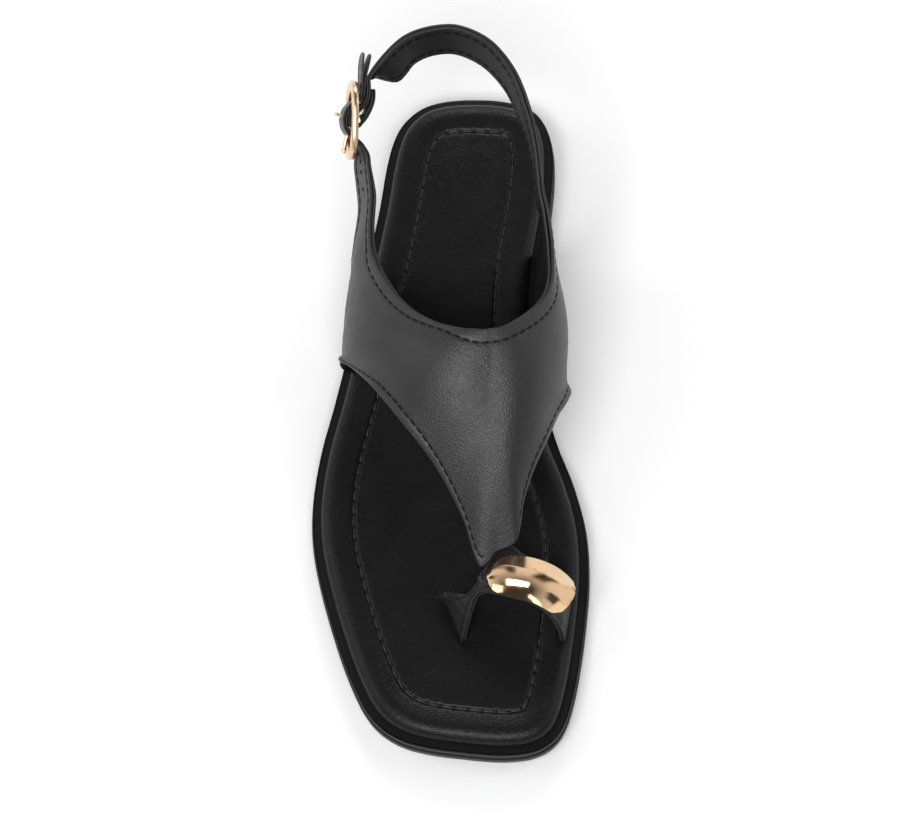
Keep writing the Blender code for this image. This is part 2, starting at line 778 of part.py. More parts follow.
def make_prong(upper):
    """Prong, the hole that it goes through and the notch in the fold where it is bent."""
    path, hole = prong_path()
    dense = [blend(path, k / 2.0) for k in range(2 * (len(path) - 1) + 1)]
    curve = bpy.data.curves.new("buckle_prong", "CURVE")
    curve.dimensions = "3D"
    curve.bevel_depth = prong_radius
    curve.bevel_resolution = 2
    curve.use_fill_caps = True
    spline = curve.splines.new("POLY")
    spline.points.add(len(dense) - 1)
    for spot, point in zip(spline.points, dense):
        spot.co = (*point, 1.0)
    spline.points[-1].radius = 1.25
    prong = bpy.data.objects.new("buckle_prong", curve)
    curve.materials.append(finish("prong_gold", gold, 0.2, 1.0))
    parts.objects.link(prong)

    direction = (path[-2] - path[-4]).normalized()
    shape = bmesh.new()
    bmesh.ops.create_cone(
        shape, cap_ends=True, segments=14, radius1=prong_radius + hole_play,
        radius2=prong_radius + hole_play, depth=2.8 * end_wall,
    )
    turn_hole = Vector((0.0, 0.0, 1.0)).rotation_difference(direction).to_matrix().to_4x4()
    turn_hole.translation = hole
    bmesh.ops.transform(shape, matrix=turn_hole, verts=shape.verts)
    drill = add_object("prong_hole", to_mesh("prong_hole", shape), None, cutters)
    as_cutter(drill)
    cut(upper, drill)

    shape = bmesh.new()
    notch_radius = bar_radius + fit + end_wall + fit / 2.0
    bmesh.ops.create_cone(
        shape, cap_ends=True, segments=24, radius1=notch_radius, radius2=notch_radius,
        depth=2.0 * (prong_radius + hole_play),
    )
    turn_up = Vector((0.0, 0.0, 1.0)).rotation_difference(ring_up).to_matrix().to_4x4()
    turn_up.translation = at_ring(0.0, -bar_back)
    bmesh.ops.transform(shape, matrix=turn_up, verts=shape.verts)
    notch = add_object("fold_notch", to_mesh("fold_notch", shape), None, cutters)
    as_cutter(notch)
    cut(upper, notch)


footbed_piece = make_sole()
band, band_shares = upper_ribs(2, 7)
upper_leather = finish("upper_leather", leather_black, 0.45, 0.0)
upper_piece = ribbon("upper", band, wall, upper_leather, shares=band_shares)
trim_upper(upper_piece)
make_loop(footbed_piece)
make_cuff()
make_buckle()
make_prong(upper_piece)
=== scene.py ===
"""Toe loop sandal, right shoe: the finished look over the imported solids.

Metres, +Z up, toe to -Y, inner (big toe) side to +X, origin on the floor under the heel.
"""

import math

import bmesh
import bpy
from mathutils import Matrix, Vector, noise


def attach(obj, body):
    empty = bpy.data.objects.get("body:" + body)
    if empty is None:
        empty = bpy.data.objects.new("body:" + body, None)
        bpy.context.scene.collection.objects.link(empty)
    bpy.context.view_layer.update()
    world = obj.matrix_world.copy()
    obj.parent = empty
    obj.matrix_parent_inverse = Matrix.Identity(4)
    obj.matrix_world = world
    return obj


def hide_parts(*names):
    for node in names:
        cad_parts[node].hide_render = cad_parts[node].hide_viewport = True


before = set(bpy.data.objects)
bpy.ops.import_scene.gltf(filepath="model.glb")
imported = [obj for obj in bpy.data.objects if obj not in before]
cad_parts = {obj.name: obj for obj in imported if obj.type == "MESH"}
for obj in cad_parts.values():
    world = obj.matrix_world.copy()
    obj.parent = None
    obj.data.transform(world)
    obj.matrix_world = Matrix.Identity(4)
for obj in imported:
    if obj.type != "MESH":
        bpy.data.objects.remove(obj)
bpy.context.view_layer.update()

# Camera
# A long lens looks down on the sandal from in front of the toe, 70 degrees above the floor and a
# little from the inner side, as for a shop picture.
camera_place = Vector((0.0551, -0.6045, 1.4095))
camera_aim = Vector((-0.0007, -0.0914, 0.0))
camera_lens = 161.1

camera_data = bpy.data.cameras.new("camera")
camera_data.sensor_width = 36.0
camera_data.lens = camera_lens
camera = bpy.data.objects.new("camera", camera_data)
bpy.context.scene.collection.objects.link(camera)
looking = (camera_aim - camera_place).normalized()
picture_right = (Vector((1.0, 0.0, 0.0)) - looking * looking.x).normalized()
picture_up = picture_right.cross(looking)
stand = Matrix((picture_right, picture_up, looking * -1.0)).transposed().to_4x4()
stand.translation = camera_place
camera.matrix_world = stand
bpy.context.scene.camera = camera

# Studio
# A white table under a white tent: a wide soft light over the toe, a long one on each side and a low
# strip behind the heel. Dark gaps between the tent's cloths give the metal its streaks.
table_size = 6.0
table_white = (0.97, 0.97, 0.97, 1.0)
tent_strength = 0.95
tent_roof = (0.30, 0.55)  # height of the direction where the walls' bands fade out
tent_heights = [
    # height of the direction, grey: bright walls and a dim roof
    (0.00, 1.00), (0.35, 0.85), (0.65, 0.42), (0.84, 0.07), (1.00, 0.04),
]
tent_bands = [
    # turn round the walls (0.5 is in front of the toe), grey: dark gaps between the cloths
    (0.000, 0.80), (0.250, 0.90), (0.290, 0.90), (0.300, 0.06), (0.335, 0.06), (0.350, 1.0),
    (0.400, 1.00), (0.415, 0.05), (0.440, 0.05), (0.450, 1.0), (0.500, 1.00), (0.515, 0.05),
    (0.560, 0.05), (0.580, 1.0), (0.640, 1.00), (0.650, 0.08), (0.700, 0.08), (0.720, 0.9),
    (1.000, 0.80),
]
studio_lights = [
    # name, place, aim, width, height, watts
    ("front_top", (-0.14, -0.80, 1.50), (0.0, -0.09, 0.05), 1.20, 0.60, 19.0),
    ("outer_side", (-1.20, 0.10, 1.05), (0.0, -0.09, 0.03), 0.50, 1.20, 3.5),
    ("inner_side", (1.15, 0.20, 1.05), (0.0, -0.09, 0.03), 0.30, 1.10, 2.0),
    ("heel_side", (0.10, 1.20, 1.00), (0.0, -0.05, 0.05), 0.80, 0.25, 6.0),
]

table_shape = bmesh.new()
bmesh.ops.create_grid(table_shape, x_segments=1, y_segments=1, size=table_size / 2.0)
table_mesh = bpy.data.meshes.new("table")
table_shape.to_mesh(table_mesh)
table_shape.free()
table = bpy.data.objects.new("table", table_mesh)
bpy.context.scene.collection.objects.link(table)
table_paint = bpy.data.materials.new("table_white")
table_paint.use_nodes = True
table_shader = table_paint.node_tree.nodes["Principled BSDF"]
table_shader.inputs["Base Color"].default_value = table_white
table_shader.inputs["Roughness"].default_value = 0.9
table_shader.inputs["Specular IOR Level"].default_value = 0.1
table_mesh.materials.append(table_paint)

for light_name, light_place, light_aim, width, height, watts in studio_lights:
    light_data = bpy.data.lights.new(light_name, "AREA")
    light_data.shape = "RECTANGLE"
    light_data.size = width
    light_data.size_y = height
    light_data.energy = watts
    light = bpy.data.objects.new(light_name, light_data)
    bpy.context.scene.collection.objects.link(light)
    light.location = light_place
    facing = Vector(light_aim) - Vector(light_place)
    light.rotation_euler = facing.to_track_quat("-Z", "Y").to_euler()


def add_node(owner, kind, **inputs):
    """One shader node of a material or a world, with its inputs set, by name or as i1 for number 1."""
    node = owner.node_tree.nodes.new(kind)
    for key, value in inputs.items():
        node.inputs[int(key[1:]) if key[1:].isdigit() else key.replace("_", " ")].default_value = value
    return node


def join(owner, source, output, target, socket):
    """Links an output of one shader node to an input of another."""
    owner.node_tree.links.new(source.outputs[output], target.inputs[socket])


tent = bpy.data.worlds.new("tent")
tent.use_nodes = True
tent_way = add_node(tent, "ShaderNodeTexCoord")
tent_axes = add_node(tent, "ShaderNodeSeparateXYZ")
join(tent, tent_way, "Generated", tent_axes, "Vector")
tent_height = add_node(tent, "ShaderNodeValToRGB")
join(tent, tent_axes, "Z", tent_height, "Fac")
tent_front = add_node(tent, "ShaderNodeMath", i1=-1.0)
tent_front.operation = "MULTIPLY"
join(tent, tent_axes, "Y", tent_front, 0)
tent_round = add_node(tent, "ShaderNodeMath")
tent_round.operation = "ARCTAN2"
join(tent, tent_axes, "X", tent_round, 0)
join(tent, tent_front, "Value", tent_round, 1)
tent_turn = add_node(tent, "ShaderNodeMapRange", From_Min=-math.pi, From_Max=math.pi)
join(tent, tent_round, "Value", tent_turn, "Value")
tent_walls = add_node(tent, "ShaderNodeValToRGB")
join(tent, tent_turn, "Result", tent_walls, "Fac")
tent_low = add_node(
    tent, "ShaderNodeMapRange", From_Min=tent_roof[0], From_Max=tent_roof[1], To_Min=1.0, To_Max=0.0
)
join(tent, tent_axes, "Z", tent_low, "Value")
tent_mix = add_node(tent, "ShaderNodeMix")
tent_mix.data_type = "RGBA"
tent_mix.blend_type = "MULTIPLY"
join(tent, tent_low, "Result", tent_mix, "Factor")
join(tent, tent_height, "Color", tent_mix, 6)
join(tent, tent_walls, "Color", tent_mix, 7)
tent_back = tent.node_tree.nodes["Background"]
join(tent, tent_mix, 2, tent_back, "Color")
tent_back.inputs["Strength"].default_value = tent_strength
for ramp, stops in ((tent_height, tent_heights), (tent_walls, tent_bands)):
    ramp.color_ramp.elements[0].position = stops[0][0]
    ramp.color_ramp.elements[1].position = stops[-1][0]
    for position, grey in stops[1:-1]:
        ramp.color_ramp.elements.new(position)
    for element, (position, grey) in zip(ramp.color_ramp.elements, stops):
        element.color = (grey, grey, grey, 1.0)
bpy.context.scene.world = tent
bpy.context.scene.view_settings.view_transform = "Standard"

# Outsole
# Black moulded rubber: a low heel, an arch and a little toe spring, with fine upright ribs all
# round its side band. It is skinned through rings of the sole's outline, from the tread upwards.
sole_length = 0.258
ball_width = 0.102
heel_behind = 0.030
heel_height = 0.0130
forefoot_height = 0.0090
arch_rise = 0.0030
toe_spring = 0.0040
welt_thickness = 0.0030
welt_inset = 0.0004
groove_depth = 0.0011
edge_round = 0.0006
tread_margin = 0.0022
fit = 0.0003
heel_end = 0.27
ball_start = 0.58
ball_end = 0.76
outline_side = 48
middle_stop = 0.020  # the sole's faces are drawn together this far short of its two ends
merge_gap = 0.00001
curve_steps = 600
outsole_ribs = 1040  # upright ribs round the side band
rib_height = 0.00014
outsole_black = (0.0050, 0.0050, 0.0052, 1.0)
inner_side = [
    # along, across
    (0.000, 0.074), (0.004, 0.196), (0.019, 0.294), (0.052, 0.351), (0.103, 0.373),
    (0.182, 0.359), (0.279, 0.322), (0.372, 0.312), (0.457, 0.339), (0.529, 0.386),
    (0.596, 0.450), (0.663, 0.493), (0.731, 0.504), (0.798, 0.493), (0.868, 0.471),
    (0.928, 0.441), (0.967, 0.402), (0.990, 0.338), (0.998, 0.265),
]
outer_side = [
    # along, across
    (1.000, 0.176), (0.995, 0.039), (0.988, -0.078), (0.973, -0.186), (0.942, -0.275),
    (0.888, -0.346), (0.819, -0.409), (0.740, -0.466), (0.678, -0.494), (0.618, -0.496),
    (0.547, -0.471), (0.471, -0.424), (0.380, -0.373), (0.279, -0.324), (0.178, -0.277),
    (0.124, -0.258), (0.078, -0.235), (0.045, -0.201), (0.018, -0.137), (0.004, -0.049),
]


def eased(value):
    """Smooth step from 0 to 1."""
    value = min(1.0, max(0.0, value))
    return value * value * (3.0 - 2.0 * value)


def toe_lift(along):
    """Lift of the sole towards the toe's tip."""
    return toe_spring * max(0.0, (along - ball_end) / (1.0 - ball_end)) ** 2


def welt_top(along):
    """Height of the welt's top face above the floor."""
    fall = eased((along - heel_end) / (ball_start - heel_end))
    return heel_height + (forefoot_height - heel_height) * fall + toe_lift(along)


def tread(along):
    """Height of the underside."""
    waist = (along - heel_end) / (ball_start - heel_end)
    hollow = arch_rise * math.sin(math.pi * waist) ** 2 if 0.0 < waist < 1.0 else 0.0
    return hollow + toe_lift(along)


def along_of(point):
    """Share of the sole's length at a point, from the heel's end."""
    return (heel_behind - point.y) / sole_length


def blend(points, spot, closed=False):
    """Point on the smooth curve through the points, at a spot counted in points."""
    count = len(points)
    start = math.floor(spot) if closed else min(int(spot), count - 2)
    t = spot - start
    if closed:
        a, b, c, d = (points[(start + k) % count] for k in (-1, 0, 1, 2))
    else:
        b, c = points[start], points[start + 1]
        a = points[start - 1] if start > 0 else b * 2.0 - c
        d = points[start + 2] if start + 2 < count else c * 2.0 - b
    bend = (a * -1.0 + b * 3.0 - c * 3.0 + d) * (t * t * t)
    swell = (a * 2.0 - b * 5.0 + c * 4.0 - d) * (t * t)
    return (b * 2.0 + (c - a) * t + swell + bend) * 0.5


def evenly(points, first, last, count):
    """Points at even distances along the closed curve, from one given point to another."""
    dense = [
        blend(points, first + (last - first) * k / curve_steps, closed=True)
        for k in range(curve_steps + 1)
    ]
    reach = [0.0]
    for k in range(curve_steps):
        reach.append(reach[-1] + (dense[k + 1] - dense[k]).length)
    result = []
    spot = 0
    for k in range(count):
        goal = reach[-1] * k / count
        while reach[spot + 1] < goal:
            spot += 1
        share = (goal - reach[spot]) / (reach[spot + 1] - reach[spot])
        result.append(dense[spot].lerp(dense[spot + 1], share))
    return result


outline_rows = [
    Vector((across * ball_width, heel_behind - along * sole_length, 0.0))
    for along, across in inner_side + outer_side
]
outline = evenly(outline_rows, 0, len(inner_side), outline_side)
outline += evenly(outline_rows, len(inner_side), len(outline_rows), outline_side)
outline_in = []
for k, point in enumerate(outline):
    run = outline[(k + 1) % len(outline)] - outline[k - 1]
    outline_in.append(Vector((run.y, -run.x, 0.0)).normalized())
for _ in range(5):
    outline_in = [
        (outline_in[k - 1] + way * 2.0 + outline_in[(k + 1) % len(outline)]).normalized()
        for k, way in enumerate(outline_in)
    ]


def sole_ring(count, inset, height):
    """One ring of the sole: its outline moved in, at a height that follows the sole."""
    coarse = [point + way * inset for point, way in zip(outline, outline_in)]
    ring = []
    for k in range(count):
        point = blend(coarse, len(coarse) * k / count, closed=True)
        point.z = height(along_of(point))
        ring.append(point)
    return ring


def middle_line(ring):
    """The ring drawn together on the line down the middle of the sole, short of both ends."""
    heel_stop = max(point.y for point in ring) - middle_stop
    toe_stop = min(point.y for point in ring) + middle_stop
    middles = [(point + ring[-k]) * 0.5 for k, point in enumerate(ring)]
    inner = [point for point in middles if toe_stop < point.y < heel_stop]
    first = max(inner, key=lambda point: point.y)
    last = min(inner, key=lambda point: point.y)
    return [
        first if point.y >= heel_stop else last if point.y <= toe_stop else point
        for point in middles
    ]


def skinned(rings, capped=False):
    """Skin through rings of points: one circle, extruded from ring to ring, with flat ends or open.

    Each point keeps its place round its ring (spot) and the number of its ring (level).
    """
    shape = bmesh.new()
    spot = shape.verts.layers.int.new("spot")
    level = shape.verts.layers.int.new("level")
    bmesh.ops.create_circle(shape, segments=len(rings[0]), radius=0.1)
    for k, vert in enumerate(shape.verts):
        vert[spot] = k
        vert.co = rings[0][k]
    start = list(shape.edges)
    edges = start
    for n, ring in enumerate(rings[1:], 1):
        grown = bmesh.ops.extrude_edge_only(shape, edges=edges)["geom"]
        for vert in grown:
            if isinstance(vert, bmesh.types.BMVert):
                vert.co = ring[vert[spot]]
                vert[level] = n
        edges = [item for item in grown if isinstance(item, bmesh.types.BMEdge)]
    if capped:
        bmesh.ops.contextual_create(shape, geom=start)
        bmesh.ops.contextual_create(shape, geom=edges)
    bmesh.ops.remove_doubles(shape, verts=shape.verts, dist=merge_gap)
    bmesh.ops.recalc_face_normals(shape, faces=shape.faces)
    return shape


def take_in(shape, part):
    """Adds one body to another that is still being made."""
    mesh = bpy.data.meshes.new("part")
    part.to_mesh(mesh)
    part.free()
    shape.from_mesh(mesh)
    bpy.data.meshes.remove(mesh)


def finished(name, shape, material, sharp=40.0):
    """Makes one piece of the sandal from a bmesh. It rides on the part's one body."""
    mesh = bpy.data.meshes.new(name)
    shape.to_mesh(mesh)
    shape.free()
    mesh.materials.append(material)
    mesh.shade_smooth()
    mesh.set_sharp_from_angle(angle=math.radians(sharp))
    made = bpy.data.objects.new(name, mesh)
    bpy.context.scene.collection.objects.link(made)
    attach(made, "root")
    return made


def blank_material(name):
    """A new material, its shader and the node that gives places on the piece."""
    material = bpy.data.materials.new(name)
    material.use_nodes = True
    shader = material.node_tree.nodes["Principled BSDF"]
    return material, shader, add_node(material, "ShaderNodeTexCoord")


def moulded_rubber(name, colour, roughness, speck_size, relief):
    """Moulded rubber: nearly even colour, a fine matt skin and duller specks."""
    material, shader, place_node = blank_material(name)
    shader.inputs["Base Color"].default_value = colour
    shader.inputs["Specular IOR Level"].default_value = 0.20
    specks = add_node(material, "ShaderNodeTexNoise", Scale=speck_size, Detail=4.0)
    join(material, place_node, "Object", specks, "Vector")
    sheen = add_node(
        material, "ShaderNodeMapRange", To_Min=roughness - 0.06, To_Max=roughness + 0.08
    )
    join(material, specks, "Fac", sheen, "Value")
    join(material, sheen, "Result", shader, "Roughness")
    skin = add_node(material, "ShaderNodeBump", Strength=0.5, Distance=relief)
    join(material, specks, "Fac", skin, "Height")
    join(material, skin, "Normal", shader, "Normal")
    return material


def outsole_top(along):
    """Top face of the outsole, under the welt."""
    return welt_top(along) - welt_thickness - fit


def ribbed(ring, share):
    """The ring with every other point pushed in between two upright ribs of the side band."""
    return [
        point + blend(outline_in, len(outline_in) * k / len(ring), closed=True)
        * (rib_height * share * (k % 2))
        for k, point in enumerate(ring)
    ]


outsole_count = 2 * outsole_ribs
outsole_rows = [
    # inset, height, share of the ribs' relief
    (tread_margin, tread, 0.0),
    (edge_round, lambda a: tread(a) + edge_round, 0.0),
    (0.0, lambda a: tread(a) + 2.2 * edge_round, 1.0),
    (0.0, lambda a: outsole_top(a) - 1.6 * edge_round, 1.0),
    (0.4 * edge_round, lambda a: outsole_top(a) - 0.9 * edge_round, 0.4),
    (edge_round, lambda a: outsole_top(a) - 0.5 * edge_round, 0.0),
    (welt_inset + groove_depth, outsole_top, 0.0),
]
outsole_rings = [
    ribbed(sole_ring(outsole_count, inset, height), share) for inset, height, share in outsole_rows
]
outsole_rings.insert(0, middle_line(outsole_rings[0]))
outsole_rings.append(middle_line(outsole_rings[-1]))
outsole = finished(
    "outsole_rubber", skinned(outsole_rings),
    moulded_rubber("outsole_rubber", outsole_black, 0.42, 2600.0, 0.00005), sharp=60.0,
)
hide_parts("outsole")

# Welt
# The flat black rim round the footbed: pressed board in thin black leather, with a narrow raised
# bead along its outer edge and a groove between it and the outsole.
welt_count = 960
bead_width = 0.0007
bead_rise = 0.00020
welt_black = (0.0060, 0.0060, 0.0062, 1.0)


def welt_base(along):
    """Underside of the welt."""
    return welt_top(along) - welt_thickness


welt_rows = [
    # inset, height
    (welt_inset + groove_depth, welt_base),
    (welt_inset + 0.6 * edge_round, lambda a: welt_base(a) + 0.5 * edge_round),
    (welt_inset + 0.1 * edge_round, lambda a: welt_base(a) + 1.4 * edge_round),
    (welt_inset, lambda a: welt_top(a) - 1.1 * edge_round),
    (welt_inset + 0.10 * bead_width, lambda a: welt_top(a) - 0.2 * bead_rise),
    (welt_inset + 0.32 * bead_width, lambda a: welt_top(a) + 0.6 * bead_rise),
    (welt_inset + 0.62 * bead_width, lambda a: welt_top(a) + 0.6 * bead_rise),
    (welt_inset + 0.95 * bead_width, lambda a: welt_top(a) - 0.1 * bead_rise),
    (welt_inset + 1.30 * bead_width, lambda a: welt_top(a) - 0.6 * bead_rise),
    (welt_inset + 1.80 * bead_width, lambda a: welt_top(a) - 0.3 * bead_rise),
    (0.0062, welt_top),
]
welt_rings = [sole_ring(welt_count, inset, height) for inset, height in welt_rows]
welt_rings.insert(0, middle_line(welt_rings[0]))
welt_rings.append(middle_line(welt_rings[-1]))
welt = finished(
    "welt_rim", skinned(welt_rings),
    moulded_rubber("welt_board", welt_black, 0.40, 1500.0, 0.00006), sharp=60.0,
)
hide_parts("welt")

# Footbed
# Soft black leather over foam, wrapped down round its edge. A sewn line all round pulls it down to
# the board, so the rim stands up as a soft roll with small puckers at each stitch.
footbed_inset = 0.0036
footbed_thickness = 0.0058
panel_inset = 0.0158
panel_sink = 0.0012
footbed_count = 1248
footbed_stitches = 104
panel_rows = 12
slot_depth = 0.0009
slot_width = 0.0020
wrinkle_rise = 0.00007  # fine wrinkles on the roll
slow_rise = 0.00010  # slow unevenness
stitch_dimple = 0.00038
dimple_width = 0.0009
panel_edge_sink = 0.38  # sink beside the sewn line and how much less of it further in
panel_swell = 0.14
panel_unevenness = 0.00018
footbed_black = (0.0042, 0.0042, 0.0043, 1.0)
footbed_rows = [
    # inset from the footbed's edge in shares of its thickness, rise in shares of its thickness
    (0.30, 0.00), (0.16, 0.02), (0.06, 0.09), (0.02, 0.20), (0.02, 0.34), (0.05, 0.47),
    (0.11, 0.59), (0.19, 0.70), (0.29, 0.79), (0.41, 0.87), (0.55, 0.93), (0.72, 0.975),
    (0.95, 1.000), (1.20, 0.995),
]
groove_rows = [
    # inset from the sewn line, sink in shares of the panel's sink
    (-0.0040, 0.12), (-0.0029, 0.22), (-0.0019, 0.32), (-0.0011, 0.42), (-0.0006, 0.62),
    (-0.0003, 0.90), (0.0000, 1.00), (0.0003, 0.90), (0.0006, 0.64), (0.0010, 0.47),
    (0.0016, 0.42), (0.0026, 0.40), (0.0040, 0.38),
]
loop_feet = [
    # rear along, across, front along, across of the two slots for the toe loop
    (0.774, -0.001, 0.834, 0.060),
    (0.775, 0.431, 0.834, 0.408),
]


def sole_place(along, across, height=0.0):
    """A point from shares of the sole's length and the ball width, at a height."""
    return Vector((across * ball_width, heel_behind - along * sole_length, height))


def footbed_level(along):
    """Top of the footbed's padded roll."""
    return welt_top(along) + fit + footbed_thickness


def slot_pull(point):
    """How far the leather is pulled down beside the toe loop's two feet."""
    pull = 0.0
    for row in loop_feet:
        rear, front = sole_place(*row[:2]), sole_place(*row[2:])
        line = front - rear
        share = min(1.0, max(0.0, (point.xy - rear.xy).dot(line.xy) / line.xy.length_squared))
        gap = (point.xy - (rear + line * share).xy).length
        pull += slot_depth * math.exp(-((gap / slot_width) ** 2))
    return pull


def round_reaches(ring):
    """Distance round a closed ring to each of its points and back to the first."""
    reach = [0.0]
    for k in range(len(ring)):
        reach.append(reach[-1] + (ring[(k + 1) % len(ring)] - ring[k]).length)
    return reach


def stitch_phases(count, stitches, inset):
    """Turns of the sewing at each point of a ring, so that the stitches are evenly long."""
    reach = round_reaches(sole_ring(count, inset, welt_top))
    return [2.0 * math.pi * stitches * reach[k] / reach[-1] for k in range(count)]


footbed_phases = stitch_phases(footbed_count, footbed_stitches, panel_inset)


def footbed_ring(inset, height, pucker, dimple):
    """One ring of the footbed, with fine wrinkles (pucker) or the pull of each stitch (dimple)."""
    ring = sole_ring(footbed_count, inset, height)
    for k, point in enumerate(ring):
        phase = footbed_phases[k]
        wrinkle = noise.noise(Vector((phase * 0.95, inset * 260.0, 3.0)))
        wrinkle += 0.6 * noise.noise(Vector((phase * 2.3, inset * 260.0, 8.0)))
        slow = noise.noise(point * 38.0)
        point.z += pucker * wrinkle_rise * wrinkle + slow_rise * slow
        point.z -= dimple * stitch_dimple * (0.5 + 0.5 * math.cos(phase)) ** 6
        point.z -= slot_pull(point)
    return ring


footbed_rings = []
for share_in, share_up in footbed_rows:
    footbed_rings.append(footbed_ring(
        footbed_inset + share_in * footbed_thickness,
        lambda a, up=share_up: welt_top(a) + fit + up * footbed_thickness,
        1.3 * math.sin(math.pi * min(1.0, share_up)) + 0.25, 0.0,
    ))
for step_in, sink in groove_rows:
    footbed_rings.append(footbed_ring(
        panel_inset + step_in,
        lambda a, drop=sink: footbed_level(a) - drop * panel_sink,
        0.3, math.exp(-((step_in / dimple_width) ** 2)),
    ))
panel_edge = footbed_rings[-1]
panel_middle = middle_line(panel_edge)
for k in range(1, panel_rows + 1):
    row = [edge.lerp(middle, k / panel_rows) for edge, middle in zip(panel_edge, panel_middle)]
    for point in row:
        sink = (panel_edge_sink - panel_swell * eased(k / 4.0)) * panel_sink
        level = footbed_level(along_of(point)) - sink
        point.z = level + panel_unevenness * noise.noise(point * 42.0) - slot_pull(point)
    footbed_rings.append(row)
footbed_rings.insert(0, middle_line(footbed_rings[0]))


def grained_leather(name, colour, roughness, shine, grain_size, grain_depth, wrinkle_depth):
    """Smooth grained leather: fine pebbles with creases between them, over slow unevenness."""
    material, shader, place_node = blank_material(name)
    shader.inputs["Specular IOR Level"].default_value = shine
    stretch = add_node(material, "ShaderNodeTexNoise", Scale=grain_size * 0.45, Detail=2.0)
    join(material, place_node, "Object", stretch, "Vector")
    shifted = add_node(material, "ShaderNodeVectorMath")
    shifted.operation = "MULTIPLY_ADD"
    join(material, stretch, "Color", shifted, 0)
    shifted.inputs[1].default_value = (0.0011, 0.0011, 0.0011)
    join(material, place_node, "Object", shifted, 2)
    pebbles = add_node(material, "ShaderNodeTexVoronoi", Scale=grain_size)
    pebbles.feature = "DISTANCE_TO_EDGE"
    join(material, shifted, "Vector", pebbles, "Vector")
    furrow = add_node(material, "ShaderNodeMapRange", From_Max=0.30)
    join(material, pebbles, "Distance", furrow, "Value")
    pores = add_node(material, "ShaderNodeTexNoise", Scale=grain_size * 3.1, Detail=3.0)
    join(material, place_node, "Object", pores, "Vector")
    slow = add_node(material, "ShaderNodeTexNoise", Scale=95.0, Detail=5.0, Roughness=0.62)
    join(material, place_node, "Object", slow, "Vector")

    wrinkles = add_node(material, "ShaderNodeBump", Strength=0.7, Distance=wrinkle_depth)
    join(material, slow, "Fac", wrinkles, "Height")
    pore_relief = add_node(material, "ShaderNodeBump", Strength=0.35, Distance=grain_depth)
    join(material, pores, "Fac", pore_relief, "Height")
    join(material, wrinkles, "Normal", pore_relief, "Normal")
    grain = add_node(material, "ShaderNodeBump", Strength=1.0, Distance=grain_depth)
    join(material, furrow, "Result", grain, "Height")
    join(material, pore_relief, "Normal", grain, "Normal")
    join(material, grain, "Normal", shader, "Normal")

    shade = add_node(material, "ShaderNodeValToRGB")
    shade.color_ramp.elements[0].color = [c * 0.72 for c in colour[:3]] + [1.0]
    shade.color_ramp.elements[1].color = [c * 1.22 for c in colour[:3]] + [1.0]
    join(material, slow, "Fac", shade, "Fac")
    # Painted highlight: the base colour is mixed towards a much lighter grey on sharply convex edges,
    # standing in for light catching the edges.
    edge_curvature = add_node(material, "ShaderNodeNewGeometry")
    painted_edge_highlight = add_node(material, "ShaderNodeMapRange", From_Min=0.52, From_Max=0.62, To_Max=0.45)
    join(material, edge_curvature, "Pointiness", painted_edge_highlight, "Value")
    highlighted_colour = add_node(material, "ShaderNodeMix")
    highlighted_colour.data_type = "RGBA"
    highlighted_colour.inputs[7].default_value = (*[min(1.0, c * 3.4) for c in colour[:3]], 1.0)
    join(material, painted_edge_highlight, "Result", highlighted_colour, 0)
    join(material, shade, "Color", highlighted_colour, 6)
    join(material, highlighted_colour, 2, shader, "Base Color")
    gloss = add_node(
        material, "ShaderNodeMapRange", To_Min=roughness + 0.10, To_Max=roughness - 0.08
    )
    join(material, slow, "Fac", gloss, "Value")
    join(material, gloss, "Result", shader, "Roughness")
    return material


footbed_leather = grained_leather(
    "footbed_leather", footbed_black, 0.36, 0.25, 760.0, 0.00005, 0.00012
)
footbed = finished("footbed_pad", skinned(footbed_rings), footbed_leather, sharp=70.0)
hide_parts("footbed")

# Footbed's sewn line
# Black waxed thread. Each stitch lies in the groove of the footbed and dips into it at both ends.
thread_black = (0.0030, 0.0030, 0.0031, 1.0)
thread_radius = 0.00040
footbed_thread_sink = 0.82  # depth of the stitches in shares of the panel's sink


def waxed_thread(name, colour, shine, roughness):
    """Twisted thread with a dull waxy shine."""
    material, shader, place_node = blank_material(name)
    shader.inputs["Base Color"].default_value = colour
    shader.inputs["Specular IOR Level"].default_value = shine
    twist = add_node(material, "ShaderNodeTexWave", Scale=1500.0, Distortion=2.0)
    join(material, place_node, "Object", twist, "Vector")
    gloss = add_node(material, "ShaderNodeMapRange", To_Min=roughness, To_Max=roughness + 0.2)
    join(material, twist, "Fac", gloss, "Value")
    join(material, gloss, "Result", shader, "Roughness")
    relief = add_node(material, "ShaderNodeBump", Strength=0.6, Distance=0.00005)
    join(material, twist, "Fac", relief, "Height")
    join(material, relief, "Normal", shader, "Normal")
    return material


thread_material = waxed_thread("waxed_thread", thread_black, 0.15, 0.42)
shiny_thread = waxed_thread("shiny_thread", thread_black, 0.80, 0.24)


def sew(shape, start, end, out, radius):
    """Adds one stitch: a long bead from hole to hole, a little flattened on the leather."""
    middle = (start + end) * 0.5
    run = (end - start).normalized()
    side = out.cross(run).normalized()
    turned = Matrix((run, side, run.cross(side))).transposed().to_4x4()
    turned.translation = middle
    size = Matrix.Diagonal(((end - start).length * 0.5, radius, radius * 0.85, 1.0))
    upright = Matrix.Rotation(math.radians(90.0), 4, "Y")
    bmesh.ops.create_uvsphere(
        shape, u_segments=8, v_segments=6, radius=1.0, matrix=turned @ size @ upright
    )


